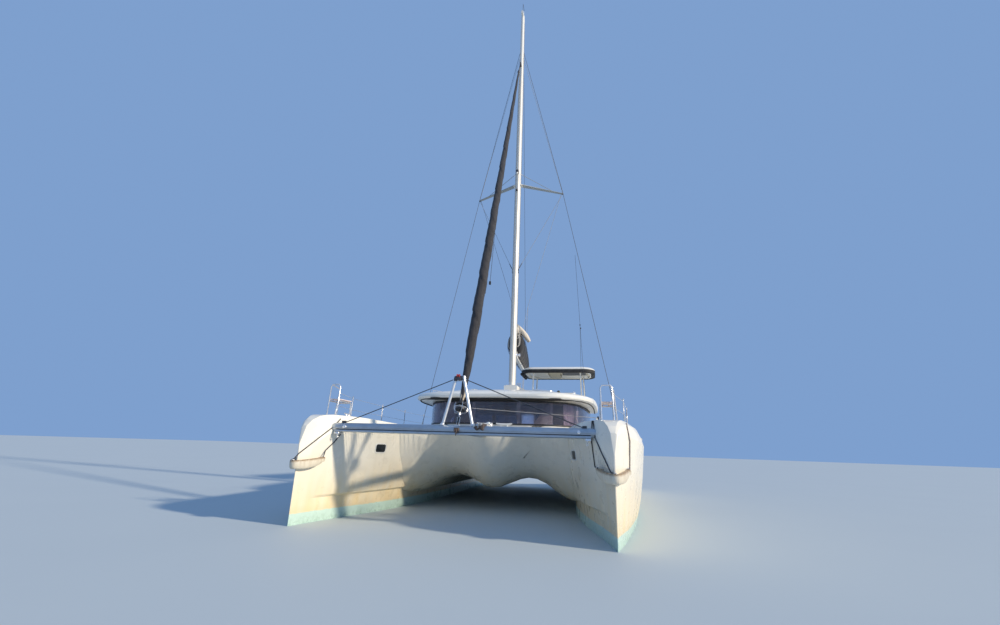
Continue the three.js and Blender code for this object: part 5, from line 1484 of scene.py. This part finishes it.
# cushions
VOXEL, SWELL, FRAMES = 0.014, 0.016, 20
SEAT_Z, BACK_Z = (1.484, 1.572), (1.50, 1.88)
# Each cushion's extent: x, y and z, low and high.
CUSHIONS = {
    "bench_seat_1": (-1.09, -0.30, 4.06, 4.36, *SEAT_Z), "bench_seat_2": (-0.27, 0.52, 4.06, 4.36, *SEAT_Z),
    "bench_seat_3": (0.55, 1.34, 4.06, 4.36, *SEAT_Z), "bench_seat_4": (1.37, 1.895, 3.87, 4.36, *SEAT_Z),
    "bench_seat_5": (1.37, 1.895, 3.22, 3.84, *SEAT_Z),
    "bench_back_1": (-1.08, -0.31, 4.39, 4.455, *BACK_Z), "bench_back_2": (-0.26, 0.51, 4.39, 4.455, *BACK_Z),
    "bench_back_3": (0.56, 1.33, 4.39, 4.455, *BACK_Z),
    "helm_seat": (0.75, 1.83, 2.675, 2.935, 2.444, 2.52), "helm_back": (0.79, 1.79, 2.90, 2.945, 2.56, 2.88),
    "settee_seat_1": (-1.33, -0.72, -1.63, -1.27, *SEAT_Z),
    "settee_seat_2": (-1.66, -1.36, -1.63, -1.27, *SEAT_Z),
    "settee_seat_3": (-1.66, -1.37, -1.24, -0.50, *SEAT_Z),
    "settee_seat_4": (-1.66, -1.37, -0.47, 0.28, *SEAT_Z),
    "settee_back_1": (-1.64, -0.72, -1.72, -1.655, *BACK_Z),
    "settee_back_2": (-1.76, -1.695, -1.62, -0.69, *BACK_Z),
    "settee_back_3": (-1.76, -1.695, -0.66, 0.28, *BACK_Z),
}


def applied(o):
    """The mesh that the piece's modifiers make, in place of them."""
    mesh = bpy.data.meshes.new_from_object(o.evaluated_get(bpy.context.evaluated_depsgraph_get()))
    o.modifiers.clear()
    o.data = mesh
    return mesh


def cushion_cover(name, x0, x1, y0, y1, z0, z1):
    """A closed cover with rounded corners, ready to be blown up by its filling."""
    r = min(0.05, 0.4 * min(x1 - x0, y1 - y0))
    o = piece(name, block(x0, x1, y0, y1, z0, z1, r), CUSHION, sharp=60)
    skin = o.modifiers.new("skin", "REMESH")
    skin.mode, skin.voxel_size, skin.use_smooth_shade = "VOXEL", VOXEL, True
    applied(o)
    return o


def swell(covers):
    """Every cover is filled at once, and no point moves further than SWELL."""
    rest = {o: [v.co.copy() for v in o.data.vertices] for o in covers}
    for o in covers:
        cloth = o.modifiers.new("filling", "CLOTH")
        cloth.settings.use_pressure = True
        cloth.settings.uniform_pressure_force = 4
        cloth.settings.effector_weights.gravity = 0
        cloth.settings.quality = 4
        cloth.point_cache.frame_start, cloth.point_cache.frame_end = 1, FRAMES
    for f in range(1, FRAMES + 1):
        bpy.context.scene.frame_set(f)
    for o in covers:
        mesh = applied(o)
        for v, was in zip(mesh.vertices, rest[o]):
            step = v.co - was
            if step.length > SWELL:
                v.co = was + step.normalized() * SWELL
    bpy.context.scene.frame_set(1)
    for o in covers:
        o.data.shade_smooth()
        m = o.modifiers.new("smooth", "SUBSURF")
        m.levels = m.render_levels = 1


def piping(o, *place):
    """Cord sewn round a cushion's two broad faces, lying on the filled cover."""
    cover = tree_from(o.data)
    low, high = place[::2], place[1::2]
    size = [b - a for a, b in zip(low, high)]
    middle = [(a + b) / 2 for a, b in zip(low, high)]
    thin, u, v = sorted(range(3), key=lambda i: (size[i] > min(size), i))
    out = []
    for level in (0.12, 0.88):
        ring = []
        for a, b in rounded(size[u] / 2 + 0.01, size[v] / 2 + 0.01, 0.05, 4):
            q = Vector(middle)
            q[u], q[v], q[thin] = middle[u] + a, middle[v] + b, low[thin] + size[thin] * level
            ring.append(q)
        fine = [q for a, b in zip(ring, [*ring[1:], ring[0]])
                for q in steps_between(a, b, max(1, int((b - a).length / 0.05)))[:-1]]
        laid = [cover.find_nearest(q)[0] for q in fine]
        out.append(tube([*laid, laid[0]], 0.0048, 6))
    return merged(*out)


covers = {name: cushion_cover(name, *place) for name, place in CUSHIONS.items()}
swell(list(covers.values()))
for group in ("bench", "helm", "settee"):
    cords = [piping(covers[name], *place) for name, place in CUSHIONS.items() if name.startswith(group)]
    piece(f"{group}_piping", cords, PIPING)

# mainsheet and helm wheel
track_feet = [roof_point(x, 4.02)[0] for x in (-1.15, -0.6, 0.0, 0.6, 1.15)]
piece("traveller_track", tube([p + Vector((0, 0, 0.018)) for p in track_feet], 0.018, 8, 4), DARK_METAL)
car = roof_point(-0.31, 4.02)[0]
slider = shifted(slab(rounded(0.09, 0.045, 0.015), 0.03, 0.062, 0.005), *car)
sheave = spool((0.02, 0.045, 0.048), (0.02, 0.016), car + Vector((0, 0, 0.11)), sides=18)
piece("traveller_car", [slider, sheave], BLACK)
boom_block = TO_BOOM @ Vector((0, 4.1, 4.1 * RISE - 0.15))
low_block = car + Vector((0, 0, 0.12))
ends = [(low_block + Vector((u, 0, 0.02)), boom_block + Vector((u * 0.7, 0, -0.03)))
        for u in (-0.03, 0.0, 0.03)]
falls = [tube(steps_between(a, b, 14), 0.0055, 6) for a, b in ends]
sheet = piece("mainsheet", falls, ROPE_PALE, body=None)
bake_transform(sheet)

wrap = moved(ring_shape(0.38, 0.0178, 48, 8), on_face((HELM_X, 2.16, 2.95), (0, 1, 0)))
piece("helm_wheel_wrap", wrap, BLACK, "helm_wheel")

# stage
SUN_WAY = Vector((0.89, -0.17, 0.43))
key = bpy.data.lights.new("key", "SUN")
key.energy, key.angle, key.color = 3.9, radians(3), (1.0, 0.87, 0.68)
key_object = bpy.data.objects.new("key", key)
key_object.rotation_euler = SUN_WAY.to_track_quat("Z", "Y").to_euler()
bpy.context.scene.collection.objects.link(key_object)
world = bpy.data.worlds.new("studio")
world.use_nodes = True
sky = world.node_tree.nodes["Background"].inputs
sky["Color"].default_value, sky["Strength"].default_value = (0.30, 0.50, 0.88, 1), 0.70
bpy.context.scene.world = world
bpy.context.scene.view_settings.view_transform = "Standard"
floor_look = Look("studio_floor", (0.50, 0.56, 0.58), 0.7)
floor_look.tint(floor_look.ramp(floor_look.noise(0.3, 3), 0.3, 0.7, (0, 0.25)), (0.46, 0.52, 0.55))
FLOOR_HALF = 240
corners = [(x * FLOOR_HALF, y * FLOOR_HALF, 0) for x, y in ((-1, -1), (1, -1), (1, 1), (-1, 1))]
floor = piece("studio_floor", (corners, [(0, 1, 2, 3)]), floor_look.material, body=None)
